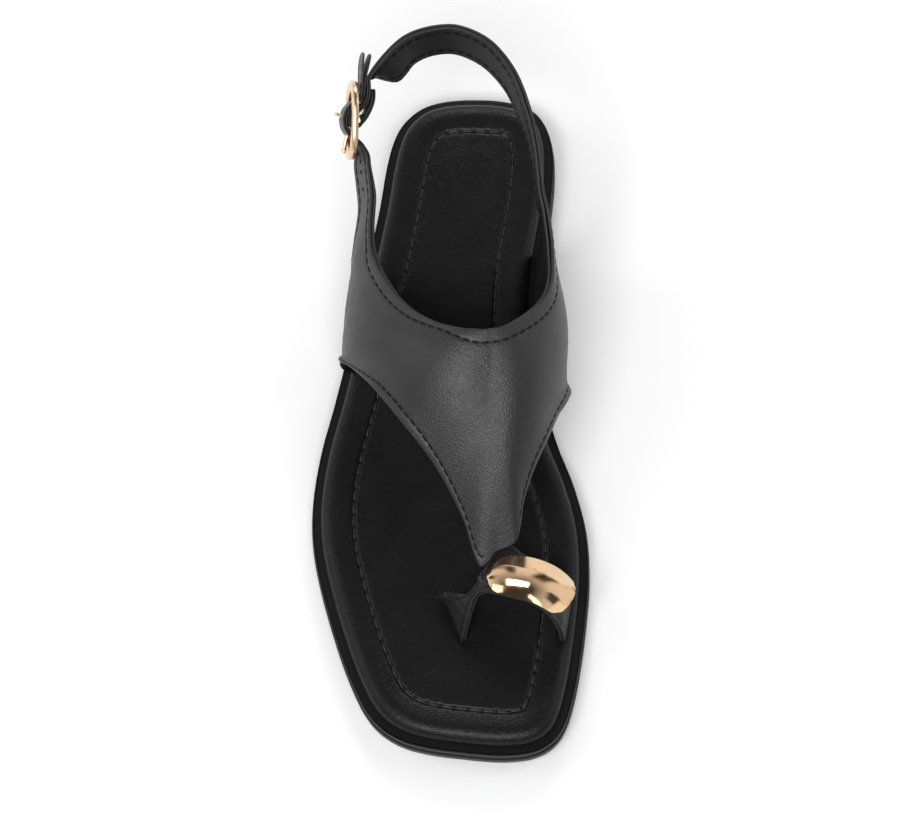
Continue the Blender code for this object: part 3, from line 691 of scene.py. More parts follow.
footbed_sewing = bmesh.new()
footbed_line = sole_ring(footbed_stitches * 12, panel_inset, footbed_level)
footbed_reach = round_reaches(footbed_line)
footbed_pitch = footbed_reach[-1] / footbed_stitches
footbed_spots = []
spot = 0
for k in range(footbed_stitches):
    goal = footbed_pitch * k
    while footbed_reach[spot + 1] < goal:
        spot += 1
    footbed_spots.append(footbed_line[spot])
drop = Vector((0.0, 0.0, footbed_thread_sink * panel_sink))
for k, start in enumerate(footbed_spots):
    end = footbed_spots[(k + 1) % footbed_stitches]
    sew(
        footbed_sewing, start.lerp(end, 0.10) - drop, start.lerp(end, 0.90) - drop,
        Vector((0.0, 0.0, 1.0)), thread_radius,
    )
footbed_threads = finished("footbed_threads", footbed_sewing, shiny_thread)

# Upper
# One band of two leathers glued back to back and sewn near every edge: the vamp with its point,
# the heel strap on the inner side and the buckled strap on the outer side.
instep_rise = 0.060
wall = 0.0024
end_wall = 0.0015
strap_width = 0.0145
seat_inset = 0.0022
trim_depth = 0.0010
even_rounds = 5
leather_gap = 0.00030  # dark line between the two leathers at an edge
upper_black = (0.0140, 0.0140, 0.0146, 1.0)
lining_black = (0.0120, 0.0120, 0.0124, 1.0)
# Edge colour, about twice as light as the leather: partly the edges' own paint, partly a painted
# highlight for light catching the edges.
edge_paint_and_highlight_grey = (0.0300, 0.0300, 0.0310, 1.0)
vamp_ribs = [
    # top along, across, up, middle along, across, up, low along, across, up
    (0.242, -0.283, 0.900, 0.240, -0.301, 0.785, 0.238, -0.316, 0.670),
    (0.275, -0.277, 0.830, 0.275, -0.309, 0.695, 0.273, -0.330, 0.555),
    (0.308, -0.267, 0.778, 0.308, -0.328, 0.586, 0.296, -0.346, 0.380),
    (0.326, -0.253, 0.766, 0.316, -0.345, 0.450, 0.282, -0.345, 0.175),
    (0.343, -0.237, 0.773, 0.326, -0.362, 0.350, 0.258, -1.000, 0.000),
    (0.382, -0.181, 0.823, 0.361, -0.374, 0.345, 0.322, -1.000, 0.000),
    (0.416, -0.106, 0.906, 0.421, -0.376, 0.470, 0.419, -1.000, 0.000),
    (0.436, -0.029, 0.965, 0.441, -0.315, 0.640, 0.430, -0.396, 0.240),
    (0.445, 0.029, 0.997, 0.457, -0.216, 0.802, 0.448, -0.359, 0.382),
    (0.450, 0.078, 1.011, 0.486, -0.088, 0.935, 0.506, -0.259, 0.674),
    (0.451, 0.108, 1.017, 0.512, -0.015, 0.942, 0.562, -0.155, 0.749),
    (0.451, 0.127, 1.017, 0.535, 0.044, 0.913, 0.612, -0.049, 0.675),
    (0.451, 0.142, 1.017, 0.554, 0.091, 0.874, 0.659, 0.026, 0.583),
    (0.450, 0.154, 1.015, 0.574, 0.123, 0.833, 0.701, 0.078, 0.500),
    (0.449, 0.166, 1.013, 0.599, 0.149, 0.783, 0.748, 0.121, 0.422),
    (0.448, 0.177, 1.011, 0.593, 0.176, 0.797, 0.729, 0.175, 0.458),
    (0.447, 0.190, 1.007, 0.581, 0.211, 0.817, 0.716, 0.243, 0.478),
    (0.444, 0.206, 1.001, 0.562, 0.237, 0.843, 0.671, 0.259, 0.538),
    (0.439, 0.229, 0.991, 0.533, 0.277, 0.866, 0.619, 0.301, 0.583),
    (0.429, 0.261, 0.968, 0.506, 0.325, 0.827, 0.576, 0.346, 0.575),
    (0.417, 0.294, 0.934, 0.479, 0.367, 0.750, 0.531, 0.385, 0.496),
    (0.398, 0.331, 0.878, 0.446, 0.412, 0.612, 0.484, 0.428, 0.335),
    (0.377, 0.355, 0.828, 0.426, 0.432, 0.430, 0.461, 1.000, 0.000),
    (0.353, 0.366, 0.798, 0.376, 0.412, 0.360, 0.388, 1.000, 0.000),
    (0.329, 0.366, 0.786, 0.322, 0.372, 0.365, 0.318, 1.000, 0.000),
    (0.306, 0.363, 0.796, 0.289, 0.360, 0.400, 0.256, 1.000, 0.000),
    (0.291, 0.359, 0.814, 0.277, 0.360, 0.500, 0.258, 0.322, 0.183),
    (0.276, 0.353, 0.840, 0.267, 0.354, 0.617, 0.258, 0.339, 0.383),
    (0.260, 0.347, 0.873, 0.256, 0.347, 0.740, 0.251, 0.341, 0.598),
]
heel_strap = [
    # along, across, up, lean
    (0.235, 0.333, 0.917, 4), (0.200, 0.324, 1.000, 4), (0.164, 0.308, 1.093, 5),
    (0.133, 0.282, 1.177, 7), (0.096, 0.244, 1.243, 10), (0.065, 0.190, 1.283, 13),
    (0.042, 0.125, 1.300, 15), (0.026, 0.027, 1.300, 15), (0.028, -0.076, 1.283, 15),
    (0.040, -0.155, 1.268, 19), (0.060, -0.218, 1.228, 23),
]
tail_folds = [
    # reach, layers, metal
    (2.36, -1.50, -1.0), (1.85, -0.95, -1.0), (1.23, -0.60, -1.0), (1.02, -0.62, -1.0),
    (0.79, -0.25, -1.0), (0.60, 0.50, 0.0), (0.33, 1.80, 0.0), (0.00, 2.22, 0.0),
    (-0.33, 1.80, 0.0), (-0.60, 0.50, 0.0), (-0.79, -0.25, -1.0), (-1.02, -0.62, -1.0),
    (-1.23, -0.60, -1.0), (-1.65, -0.40, -1.0),
]
bar_approach = [
    # reach, layers, metal
    (1.60, -1.85, -1.0), (1.23, -1.66, -1.0), (0.90, -1.68, -1.0), (0.58, -1.00, -1.0),
    (0.34, -0.44, 0.0),
]
turned_end = [
    # reach, layers, metal
    (0.06, -1.76, 0.0), (0.32, -2.60, 0.0), (0.61, -3.20, 0.0), (0.86, -3.44, 0.0),
    (1.12, -3.52, 0.0),
]
buckle_place = (0.136, -0.343, 0.983)
buckle_lean = -11.0
buckle_turn = 2.0
buckle_pitch = 24.0
wrap_from = 30.0
wrap_to = 250.0
wrap_steps = 6
ring_length = 0.0288
ring_play = 0.0010
ring_square = 0.7
end_width = 0.0130
ring_band = 0.0041
ring_thickness = 0.0026
bar_radius = 0.0011
bar_back = 0.0008

coarse_steps = 2  # coarse ribs between two rows of the tables
coarse_across = 7
fine_steps = 3  # fine ribs between two coarse ones
middle_columns = 18
edge_marks = (0.0, 0.10, 0.28, 0.48, 0.68, 0.84, 0.94, 1.0, 1.06, 1.16, 1.36, 1.70)
strap_seam = 0.0024  # edge to sewn line
collar_seam = 0.0050
front_seam = 0.0032
seam_sink = 0.00018
seam_half_width = 0.00055
edge_roll = 0.00008  # leather between a sewn line and its edge stands up a little
end_corner = 0.0045  # rounding of the two strap ends
tail_splay = 0.0010  # the tail's two leathers part at the end
splay_length = 0.012
rim_round = 0.0003
rim_degrees = (67.5, 22.5, -22.5, -67.5)
most_seam = 0.27  # a sewn line is no further in than this share of a rib
most_corner = 0.36  # a strap's end is narrowed by no more than this share of its width
end_fade = 0.003  # the sewn lines' relief fades out this near to the band's ends
leather_unevenness = 0.00016
line_steps = 8  # points between two coarse columns
corner_steps = 20
thread_lift = 0.00006  # thread stands this far off the leather
seated_from = 0.3  # share of a rib's seat past which it isn't sewn
hole_rows = 1
hole_columns = 3


def place(along, across, up):
    """A point from its shares of the sole's length, the ball width and the instep's rise."""
    return sole_place(along, across, welt_top(along) + up * instep_rise)


def seat(side, along):
    """Point where the upper stands on the welt, on the inner (1) or outer (-1) side."""
    wanted = heel_behind - along * sole_length
    half = range(outline_side) if side > 0 else range(outline_side, 2 * outline_side)
    for k in half:
        near = outline[k] + outline_in[k] * seat_inset
        n = (k + 1) % len(outline)
        far = outline[n] + outline_in[n] * seat_inset
        if (near.y - wanted) * (far.y - wanted) <= 0.0 and near.y != far.y:
            point = near.lerp(far, (wanted - near.y) / (far.y - near.y))
            point.z = welt_top(along) - trim_depth
            return point
    raise ValueError("no seat at this place along the sole")


def rib_points(top, middle, low, count):
    """Points down one rib, on the curve through its three points."""
    upper_run = (middle - top).length
    knee = upper_run / (upper_run + (low - middle).length)
    points = []
    for k in range(count + 1):
        t = k / count
        at_top = (t - knee) * (t - 1.0) / knee
        at_middle = t * (t - 1.0) / (knee * (knee - 1.0))
        at_low = t * (t - knee) / (1.0 - knee)
        points.append(top * at_top + middle * at_middle + low * at_low)
    return points


# Frame of the buckle: towards the heel, up its centre bar and out from the foot
turn = math.radians(buckle_turn)
lean = math.radians(buckle_lean)
pitch = math.radians(buckle_pitch)
flat_run = Vector((math.sin(turn), math.cos(turn), 0.0))
flat_side = Vector((-math.cos(turn), math.sin(turn), 0.0))
ring_run = flat_run * math.cos(pitch) + Vector((0.0, 0.0, math.sin(pitch)))
upright = flat_run * -math.sin(pitch) + Vector((0.0, 0.0, math.cos(pitch)))
ring_up = upright * math.cos(lean) + flat_side * math.sin(lean)
ring_out = flat_side * math.cos(lean) - upright * math.sin(lean)
ring_middle = place(*buckle_place)
eye_half = ring_length / 2.0 - ring_band
end_layer = end_wall + fit


def at_ring(reach, out, up=0.0):
    """A point from its distances along, out from and up the ring."""
    return ring_middle + ring_run * reach + ring_out * out + ring_up * up


def folded(rows):
    """Top, middle and low points of a strap on its way through the ring."""
    result = []
    for reach, layers, metal in rows:
        out = layers * end_layer + metal * ring_thickness / 2.0 - bar_back
        result.append([
            at_ring(reach * eye_half, out, end_width * part) for part in (0.5, 0.0, -0.5)
        ])
    return result


def wrapped():
    """Top, middle and low points of the fold round the centre bar."""
    radius = bar_radius + fit + end_wall / 2.0
    result = []
    for k in range(wrap_steps + 1):
        angle = math.radians(wrap_from + (wrap_to - wrap_from) * k / wrap_steps)
        run, out = radius * math.cos(angle), radius * math.sin(angle) - bar_back
        result.append([at_ring(run, out, end_width * part) for part in (0.5, 0.0, -0.5)])
    return result


def leaning(rows):
    """Top, middle and low points of the heel strap."""
    tops = [place(along, across, up) for along, across, up, _ in rows]
    result = []
    for k, row in enumerate(rows):
        run = tops[min(k + 1, len(tops) - 1)] - tops[max(k - 1, 0)]
        away = Vector((run.y, -run.x, 0.0)).normalized()
        tip = math.radians(row[3])
        down = away * -math.sin(tip) - Vector((0.0, 0.0, 1.0)) * math.cos(tip)
        result.append([tops[k] + down * strap_width * part for part in (0.0, 0.5, 1.0)])
    return result


def vamp():
    """Top, middle and low points of the vamp's ribs."""
    result = []
    for row in vamp_ribs:
        along, across, up = row[6:]
        low = seat(across, along) if abs(across) == 1.0 else place(along, across, up)
        result.append([place(*row[:3]), place(*row[3:6]), low])
    return result


def evened(ribs, first, last):
    """Ribs with the points between their edges evened out, as leather lies over a last."""
    for _ in range(even_rounds):
        before = [list(rib) for rib in ribs]
        for k in range(first, last):
            for n in range(1, len(ribs[k]) - 1):
                beside = before[k - 1][n] + before[k + 1][n]
                along_rib = before[k][n - 1] + before[k][n + 1]
                ribs[k][n] = before[k][n] * 0.5 + (beside + along_rib) * 0.125
    return ribs


def tipped(rows, turns):
    """Strap rows with their top edges tipped in over the foot by the given distances."""
    for k, (in_top, in_low) in turns.items():
        rows[k][0] -= flat_side * in_top
        rows[k][1] -= flat_side * (in_top + in_low) * 0.5
        rows[k][2] -= flat_side * in_low
    return rows


tail_tips = {11: (0.0012, 0.0), 12: (0.0024, 0.0), 13: (0.0034, -0.0002)}
strap_rows = {
    "tail": tipped(folded(tail_folds), tail_tips),
    "vamp": tipped(vamp(), {0: (0.0020, 0.0), 1: (0.0008, 0.0)}),
    "strap": leaning(heel_strap),
    "turned": tipped(folded(bar_approach), {0: (0.0, 0.0022)}) + wrapped() + folded(turned_end),
}
upper_rows = [row for rows in strap_rows.values() for row in rows]
vamp_start = len(tail_folds)
vamp_end = vamp_start + len(vamp_ribs)
strap_end = vamp_end + len(heel_strap)
row_walls = [end_wall / wall] * vamp_start
row_walls += [1.0] * (strap_end - vamp_start)
row_walls += [end_wall / wall] * (len(upper_rows) - strap_end)
row_collar = [strap_seam] * (vamp_start + 3)
row_collar += [collar_seam] * len(vamp_ribs)
row_collar += [strap_seam] * (len(upper_rows) - len(row_collar))
row_front = [strap_seam] * vamp_start
row_front += [strap_seam if abs(row[7]) == 0.0 else front_seam for row in vamp_ribs]
row_front += [strap_seam] * (len(upper_rows) - len(row_front))
row_seated = [0.0] * vamp_start
row_seated += [1.0 if abs(row[7]) == 1.0 else 0.0 for row in vamp_ribs]
row_seated += [0.0] * (len(upper_rows) - len(row_seated))


def at_row(values, spot):
    """Value between the rows of a table."""
    near = min(int(spot), len(values) - 2)
    return values[near] + (values[near + 1] - values[near]) * (spot - near)


def cut_to_sole(line):
    """A rib's points from the collar down, without what would go into the sole."""
    kept = list(line)
    while kept[-1].z < welt_top(along_of(kept[-1])) + fit and len(kept) > 2:
        last = kept.pop()
        floor = welt_top(along_of(last)) + fit
        if kept[-1].z > floor:
            kept.append(kept[-1].lerp(last, (kept[-1].z - floor) / (kept[-1].z - last.z)))
            break
    return kept


def along_line(line, reach, distance):
    """Point at a distance along a line of points."""
    k = 0
    while k < len(reach) - 2 and reach[k + 1] < distance:
        k += 1
    share = (distance - reach[k]) / max(0.0000001, reach[k + 1] - reach[k])
    return line[k].lerp(line[k + 1], share)


def reaches(line):
    """Distance from the start of a line to each of its points."""
    reach = [0.0]
    for near, far in zip(line, line[1:]):
        reach.append(reach[-1] + (far - near).length)
    return reach


def sewn_distances(length, top_seam, low_seam):
    """Distances down a rib of its columns, close together beside its two sewn lines."""
    top_seam = min(top_seam, length * most_seam)
    low_seam = min(low_seam, length * most_seam)
    tops = [mark * top_seam for mark in edge_marks]
    lows = [length - mark * low_seam for mark in reversed(edge_marks)]
    gap = lows[0] - tops[-1]
    middles = [tops[-1] + gap * k / (middle_columns + 1) for k in range(1, middle_columns + 1)]
    return tops + middles + lows


def out_of(grid):
    """Directions out of a surface of ribs, at each of its points."""
    ways = []
    for r, rib in enumerate(grid):
        row = []
        for c in range(len(rib)):
            run = grid[min(r + 1, len(grid) - 1)][c] - grid[max(r - 1, 0)][c]
            down = rib[min(c + 1, len(rib) - 1)] - rib[max(c - 1, 0)]
            row.append(down.cross(run).normalized())
        ways.append(row)
    return ways


lines = [[row[part] for row in upper_rows] for part in range(3)]
coarse = []
for k in range((len(upper_rows) - 1) * coarse_steps + 1):
    top, middle, low = (blend(line, k / coarse_steps) for line in lines)
    coarse.append(rib_points(top, middle, low, coarse_across))
coarse = evened(coarse, (vamp_start + 1) * coarse_steps, vamp_end * coarse_steps)
coarse_columns = [[rib[n] for rib in coarse] for n in range(coarse_across + 1)]
rib_spots = [k / (coarse_steps * fine_steps) for k in range((len(coarse) - 1) * fine_steps + 1)]

upper_grid = []
for spot in rib_spots:
    rib = [blend(column, spot * coarse_steps) for column in coarse_columns]
    line = [blend(rib, k / line_steps) for k in range(line_steps * coarse_across + 1)]
    upper_grid.append(cut_to_sole(line))
rib_middles = [line[len(line) // 2] for line in upper_grid]
rib_reach = reaches(rib_middles)


def narrowed(line, from_end):
    """A rib near a strap's end, narrowed for the end's rounded corners."""
    if from_end >= end_corner:
        return line
    reach = reaches(line)
    less = end_corner * (1.0 - math.sqrt(1.0 - (1.0 - from_end / end_corner) ** 2))
    less = min(less, reach[-1] * most_corner)
    return [
        along_line(line, reach, less + (reach[-1] - 2.0 * less) * k / corner_steps)
        for k in range(corner_steps + 1)
    ]


for r, spot in enumerate(rib_spots):
    from_end = min(rib_reach[r], rib_reach[-1] - rib_reach[r])
    line = narrowed(upper_grid[r], from_end)
    reach = reaches(line)
    distances = sewn_distances(reach[-1], at_row(row_collar, spot), at_row(row_front, spot))
    upper_grid[r] = [along_line(line, reach, distance) for distance in distances]
upper_out = out_of(upper_grid)
column_count = len(upper_grid[0])
face_count = column_count - 2
mark_count = len(edge_marks)
collar_column = edge_marks.index(1.0)
front_column = column_count - 1 - collar_column
strap_holes = [
    # row spot, share down the strap, radius
    (13.70, 0.5, 0.00085), (13.15, 0.5, 0.00085), (12.70, 0.5, 0.00085), (9.65, 0.5, 0.00110),
    (53.60, 0.5, 0.00055), (54.10, 0.5, 0.00055),
]
upper_creases = [
    # row spot, share down the rib, turn of the crease in degrees, length, width, depth
    (18.3, 0.50, 20.0, 0.020, 0.0028, 0.00045),
    (19.6, 0.62, 35.0, 0.026, 0.0030, 0.00050),
    (38.2, 0.55, -20.0, 0.020, 0.0028, 0.00045),
    (36.5, 0.60, -35.0, 0.022, 0.0026, 0.00040),
]


def seam_shape(column, collar, front):
    """Rise of the leather beside the sewn lines of a rib."""
    if column < mark_count:
        mark, seam, weight = edge_marks[column], collar, 1.0
    elif column >= column_count - mark_count:
        mark, seam, weight = edge_marks[column_count - 1 - column], *front
    else:
        return 0.0
    groove = -seam_sink * math.exp(-(((mark - 1.0) * seam / seam_half_width) ** 2))
    roll = edge_roll * math.sin(math.pi * min(1.0, mark)) if mark < 1.0 else 0.0
    puff = 0.6 * edge_roll * math.exp(-(((mark - 1.36) * 4.0) ** 2)) if mark > 1.0 else 0.0
    return weight * (groove + roll + puff)


def turned_way(grid, r, c, angle):
    """Direction on a surface of ribs at one of its points, turned from the run along the ribs."""
    run = (grid[r + 1][c] - grid[r - 1][c]).normalized()
    down = (grid[r][c + 1] - grid[r][c - 1]).normalized()
    return run * math.cos(angle) + down * math.sin(angle)


def nearest_rib(spot):
    """Number of the rib next to a place along the band."""
    return min(range(len(rib_spots)), key=lambda k: abs(rib_spots[k] - spot))


crease_marks = []
for spot, share, degrees, *sizes in upper_creases:
    r, c = nearest_rib(spot), int(share * (column_count - 1))
    way = turned_way(upper_grid, r, c, math.radians(degrees)).normalized()
    crease_marks.append((upper_grid[r][c], way, *sizes))


def creased(point, marks):
    """Rise of the leather at a point from its creases: soft troughs between low ridges."""
    rise = 0.0
    for centre, way, length, width, depth in marks:
        offset = point - centre
        run = offset.dot(way)
        aside = (offset - way * run).length
        if abs(run) < length and aside < 4.0 * width:
            fade = math.cos(0.5 * math.pi * run / length) ** 2
            wave = (1.0 - 2.0 * (aside / width) ** 2) * math.exp(-((aside / width) ** 2))
            rise -= depth * fade * wave
    return rise


tip_cut = (28.3, 30.4)  # rows along the point's slanted end, which isn't sewn
upper_rise = []
for r, rib in enumerate(upper_grid):
    spot = rib_spots[r]
    collar = at_row(row_collar, spot)
    sewn = 0.0 if tip_cut[0] < spot < tip_cut[1] else 1.0
    front = (at_row(row_front, spot), sewn * (1.0 - eased(2.0 * at_row(row_seated, spot))))
    ends = eased(min(rib_reach[r], rib_reach[-1] - rib_reach[r]) / end_fade)
    row = []
    for c, point in enumerate(rib):
        slow = leather_unevenness * noise.noise(point * 55.0)
        row.append(ends * seam_shape(c, collar, front) + slow + creased(point, crease_marks))
    upper_rise.append(row)


def rim_points(edge, inside, out, offset, half, degrees_round):
    """Rounded edge of one leather, from one of its faces to the other."""
    away = (edge - inside).normalized()
    soft = min(rim_round, 0.85 * half)
    points = []
    for degrees in degrees_round:
        angle = math.radians(degrees)
        rise = math.copysign(half - soft, angle) + soft * math.sin(angle)
        points.append(edge + away * (soft * (math.cos(angle) - 1.0)) + out * (offset + rise))
    return points


def leather_rings(grid, outs, offsets, walls, thickness):
    """Closed outline of one leather at each rib: outer face, low edge, inner face, top edge."""
    rings = []
    for r, rib in enumerate(grid):
        half = 0.5 * thickness * walls[r]
        outer, inner = (
            [point + outs[r][c] * (offsets[r][c] + side * half) for c, point in enumerate(rib)]
            for side in (1.0, -1.0)
        )
        low = rim_points(rib[-1], rib[-2], outs[r][-1], offsets[r][-1], half, rim_degrees)
        top = rim_points(rib[0], rib[1], outs[r][0], offsets[r][0], half, rim_degrees[::-1])
        rings.append(outer[1:-1] + low + inner[-2:0:-1] + top)
    return rings


def column_at(spot):
    """Column of the grid that a point of a leather's outline came from, or -1 on its edges."""
    inner_start = face_count + len(rim_degrees)
    if spot < face_count:
        return spot + 1
    if inner_start <= spot < inner_start + face_count:
        return face_count - (spot - inner_start)
    return -1


def leather_piece(name, rings, leather, edge, holes):
    """Makes one leather of a doubled strap, with its edges painted in a lighter grey that is partly a
    painted highlight, and its holes punched.
    """
    shape = skinned(rings, capped=True)
    spot = shape.verts.layers.int["spot"]
    level = shape.verts.layers.int["level"]
    for face in shape.faces:
        on_edge = all(column_at(vert[spot]) < 0 for vert in face.verts)
        face.material_index = 1 if on_edge else 0
    for row, column, *_ in holes:
        inside = [
            face for face in shape.faces
            if all(
                abs(vert[level] - row) <= hole_rows
                and 0 < column_at(vert[spot])
                and abs(column_at(vert[spot]) - column) <= hole_columns
                for vert in face.verts
            )
        ]
        bmesh.ops.delete(shape, geom=inside, context="FACES")
        rims = [item for item in shape.edges if len(item.link_faces) == 1]
        bmesh.ops.bridge_loops(shape, edges=rims)
    bmesh.ops.recalc_face_normals(shape, faces=shape.faces)
    made = finished(name, shape, leather, sharp=50.0)
    made.data.materials.append(edge)
    return made


def hole_at(spot, share, radius):
    """Row, column and radius of a punched hole from its place along and down a strap."""
    row = nearest_rib(spot)
    rib = upper_grid[row]
    width = (rib[-1] - rib[0]).length
    column = min(
        range(column_count), key=lambda k: abs((rib[k] - rib[0]).length - share * width)
    )
    return row, column, radius


def opened(grid, row, column, radius):
    """Moves the grid's points round a hole onto its circle."""
    centre = grid[row][column].copy()
    run = (grid[row + 1][column] - grid[row - 1][column]).normalized()
    down = (grid[row][column + 1] - grid[row][column - 1]).normalized()
    side = [(hole_rows, c) for c in range(0, hole_columns)]
    side += [(r, hole_columns) for r in range(hole_rows, -hole_rows, -1)]
    side += [(-hole_rows, c) for c in range(hole_columns, -hole_columns, -1)]
    side += [(r, -hole_columns) for r in range(-hole_rows, hole_rows)]
    side += [(hole_rows, c) for c in range(-hole_columns, 0)]
    for k, (r, c) in enumerate(side):
        angle = 2.0 * math.pi * k / len(side)
        way = run * math.cos(angle) + down * math.sin(angle)
        grid[row + r][column + c] = centre + way * radius


upper_leather = grained_leather(
    "upper_leather", upper_black, 0.42, 0.50, 880.0, 0.00005, 0.00016
)
lining_leather = grained_leather(
    "lining_leather", lining_black, 0.46, 0.30, 1200.0, 0.00007, 0.00012
)
# Edge material: edge paint whose lighter grey is partly a painted highlight.
leather_edge = moulded_rubber("leather_edge_paint_and_highlight", edge_paint_and_highlight_grey, 0.46, 2400.0, 0.00005)

upper_holes = [hole_at(*place_and_size) for place_and_size in strap_holes]
for hole in upper_holes:
    opened(upper_grid, *hole)
rib_walls = [at_row(row_walls, spot) for spot in rib_spots]
splays = [
    tail_splay * eased(1.0 - reach / splay_length) for reach in rib_reach
]
layer_half = [(wall * share + leather_gap) / 4.0 for share in rib_walls]
outer_offsets = [
    [half + splay + rise for rise in row]
    for half, splay, row in zip(layer_half, splays, upper_rise)
]
lining_offsets = [
    [-half - 0.6 * splay - 0.5 * rise for rise in row]
    for half, splay, row in zip(layer_half, splays, upper_rise)
]
layer_thickness = (wall - leather_gap) / 2.0
upper, lining = (
    leather_piece(
        name, leather_rings(upper_grid, upper_out, offsets, rib_walls, layer_thickness),
        leather, leather_edge, upper_holes,
    )
    for name, offsets, leather in (
        ("upper_leather", outer_offsets, upper_leather),
        ("upper_lining", lining_offsets, lining_leather),
    )
)
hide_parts("upper")

# Upper's sewn lines
# The same black thread along the collar, along the front edges and along both edges of the
# straps, seen on the outside and on the lining.
stitch_pitch = 0.0036
stitch_share = 0.80  # of the pitch that lies on top


def sew_line(shape, points, ways, pitch, radius):
    """Sews along a line of points on the leather, with its direction out at each point."""
    reach = reaches(points)
    count = max(1, round(reach[-1] / pitch))
    step = reach[-1] / count
    for k in range(count):
        ends = []
        for part in (0.5 - stitch_share / 2.0, 0.5 + stitch_share / 2.0):
            distance = step * (k + part)
            ends.append(along_line(points, reach, distance))
        middle = step * (k + 0.5)
        n = min(range(len(reach)), key=lambda i: abs(reach[i] - middle))
        sew(shape, ends[0], ends[1], ways[n], radius)


upper_sewing = bmesh.new()
for column, free_only in ((collar_column, False), (front_column, True)):
    for side, offsets in ((1.0, outer_offsets), (-1.0, lining_offsets)):
        run_points, run_ways = [], []
        for r in range(4, len(rib_spots) - 4):
            seated = free_only and (
                at_row(row_seated, rib_spots[r]) > seated_from or tip_cut[0] < rib_spots[r] < tip_cut[1]
            )
            if not seated:
                out = upper_out[r][column]
                skin = offsets[r][column] + side * rib_walls[r] * layer_thickness / 2.0
                run_points.append(upper_grid[r][column] + out * (skin + side * thread_lift))
                run_ways.append(out * side)
            if (seated or r == len(rib_spots) - 5) and len(run_points) > 4:
                sew_line(upper_sewing, run_points, run_ways, stitch_pitch, thread_radius)
            if seated:
                run_points, run_ways = [], []
upper_threads = finished("upper_threads", upper_sewing, thread_material)

# Toe loop
# A doubled leather strip over the big toe. Its outer leg is twisted and goes down into a slot of
# the footbed; the inner leg stands beside it on the other side of the toe.
loop_wall = 0.0020
loop_seam = 0.0022
loop_rib_count = 150
loop_depth = 0.0022  # the legs go on into the footbed's slots
loop_unevenness = 0.0001
loop_ribs = [
    # rear along, across, up, front along, across, up
    (0.774, -0.001, 0.133, 0.834, 0.060, 0.127), (0.774, 0.033, 0.232, 0.810, 0.082, 0.247),
    (0.780, 0.076, 0.290, 0.790, 0.102, 0.335), (0.770, 0.110, 0.350, 0.785, 0.129, 0.395),
    (0.738, 0.157, 0.388, 0.790, 0.176, 0.443), (0.714, 0.211, 0.402, 0.797, 0.235, 0.465),
    (0.734, 0.275, 0.453, 0.803, 0.294, 0.458), (0.748, 0.338, 0.433, 0.810, 0.343, 0.397),
    (0.761, 0.392, 0.355, 0.818, 0.378, 0.296), (0.771, 0.424, 0.240, 0.828, 0.400, 0.211),
    (0.775, 0.431, 0.133, 0.834, 0.408, 0.127),
]


def loop_point(spot, part):
    """Point on the toe loop's middle surface: place round it, and share from rear to front."""
    rears = [place(*row[:3]) for row in loop_ribs]
    fronts = [place(*row[3:]) for row in loop_ribs]
    count = len(loop_ribs) - 1
    rear = blend(rears, spot * count)
    front = blend(fronts, spot * count)
    return rear + (front - rear) * part


loop_grid = []
for k in range(loop_rib_count + 1):
    rear, front = loop_point(k / loop_rib_count, 0.0), loop_point(k / loop_rib_count, 1.0)
    distances = sewn_distances((front - rear).length, loop_seam, loop_seam)
    loop_grid.append([rear.lerp(front, d / (front - rear).length) for d in distances])
sunk = Vector((0.0, 0.0, -loop_depth))
loop_grid.insert(0, [point + sunk for point in loop_grid[0]])
loop_grid.append([point + sunk for point in loop_grid[-1]])
loop_out = [[way * -1.0 for way in row] for row in out_of(loop_grid)]
loop_creases = [
    # place round the loop, share across, turn in degrees, length, width, depth
    (0.10, 0.5, 80.0, 0.010, 0.0016, 0.00035),
    (0.22, 0.5, 70.0, 0.008, 0.0014, 0.00035),
    (0.90, 0.5, 80.0, 0.009, 0.0016, 0.00030),
]
loop_marks = []
for spot, share, degrees, *sizes in loop_creases:
    r, c = 1 + int(spot * loop_rib_count), int(share * (column_count - 1))
    way = turned_way(loop_grid, r, c, math.radians(degrees))
    loop_marks.append((loop_grid[r][c], way, *sizes))
loop_rise = []
for r, rib in enumerate(loop_grid):
    row = []
    for c, point in enumerate(rib):
        edge = seam_shape(c, loop_seam, (loop_seam, 1.0))
        row.append(edge + creased(point, loop_marks) + loop_unevenness * noise.noise(point * 70.0))
    loop_rise.append(row)
loop_layer = (loop_wall - leather_gap) / 2.0
loop_half = (loop_wall + leather_gap) / 4.0
loop_walls = [1.0] * len(loop_grid)
loop_outer_offsets = [[loop_half + rise for rise in row] for row in loop_rise]
loop_lining_offsets = [[-loop_half - 0.5 * rise for rise in row] for row in loop_rise]
toe_loop, loop_lining = (
    leather_piece(
        name, leather_rings(loop_grid, loop_out, offsets, loop_walls, loop_layer),
        leather, leather_edge, [],
    )
    for name, offsets, leather in (
        ("toe_loop_leather", loop_outer_offsets, upper_leather),
        ("toe_loop_lining", loop_lining_offsets, lining_leather),
    )
)
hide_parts("toe_loop")

# Toe loop's sewn lines
# Thread along both edges of the strip.
loop_pitch = 0.0028
loop_thread_radius = 0.00022
loop_thread_lift = 0.00005
loop_sewing = bmesh.new()
for column in (collar_column, front_column):
    for side, offsets in ((1.0, loop_outer_offsets), (-1.0, loop_lining_offsets)):
        run_points, run_ways = [], []
        for r in range(3, len(loop_grid) - 3):
            out = loop_out[r][column]
            skin = offsets[r][column] + side * loop_layer / 2.0
            run_points.append(loop_grid[r][column] + out * (skin + side * loop_thread_lift))
            run_ways.append(out * side)
        sew_line(loop_sewing, run_points, run_ways, loop_pitch, loop_thread_radius)
loop_threads = finished("toe_loop_threads", loop_sewing, thread_material)

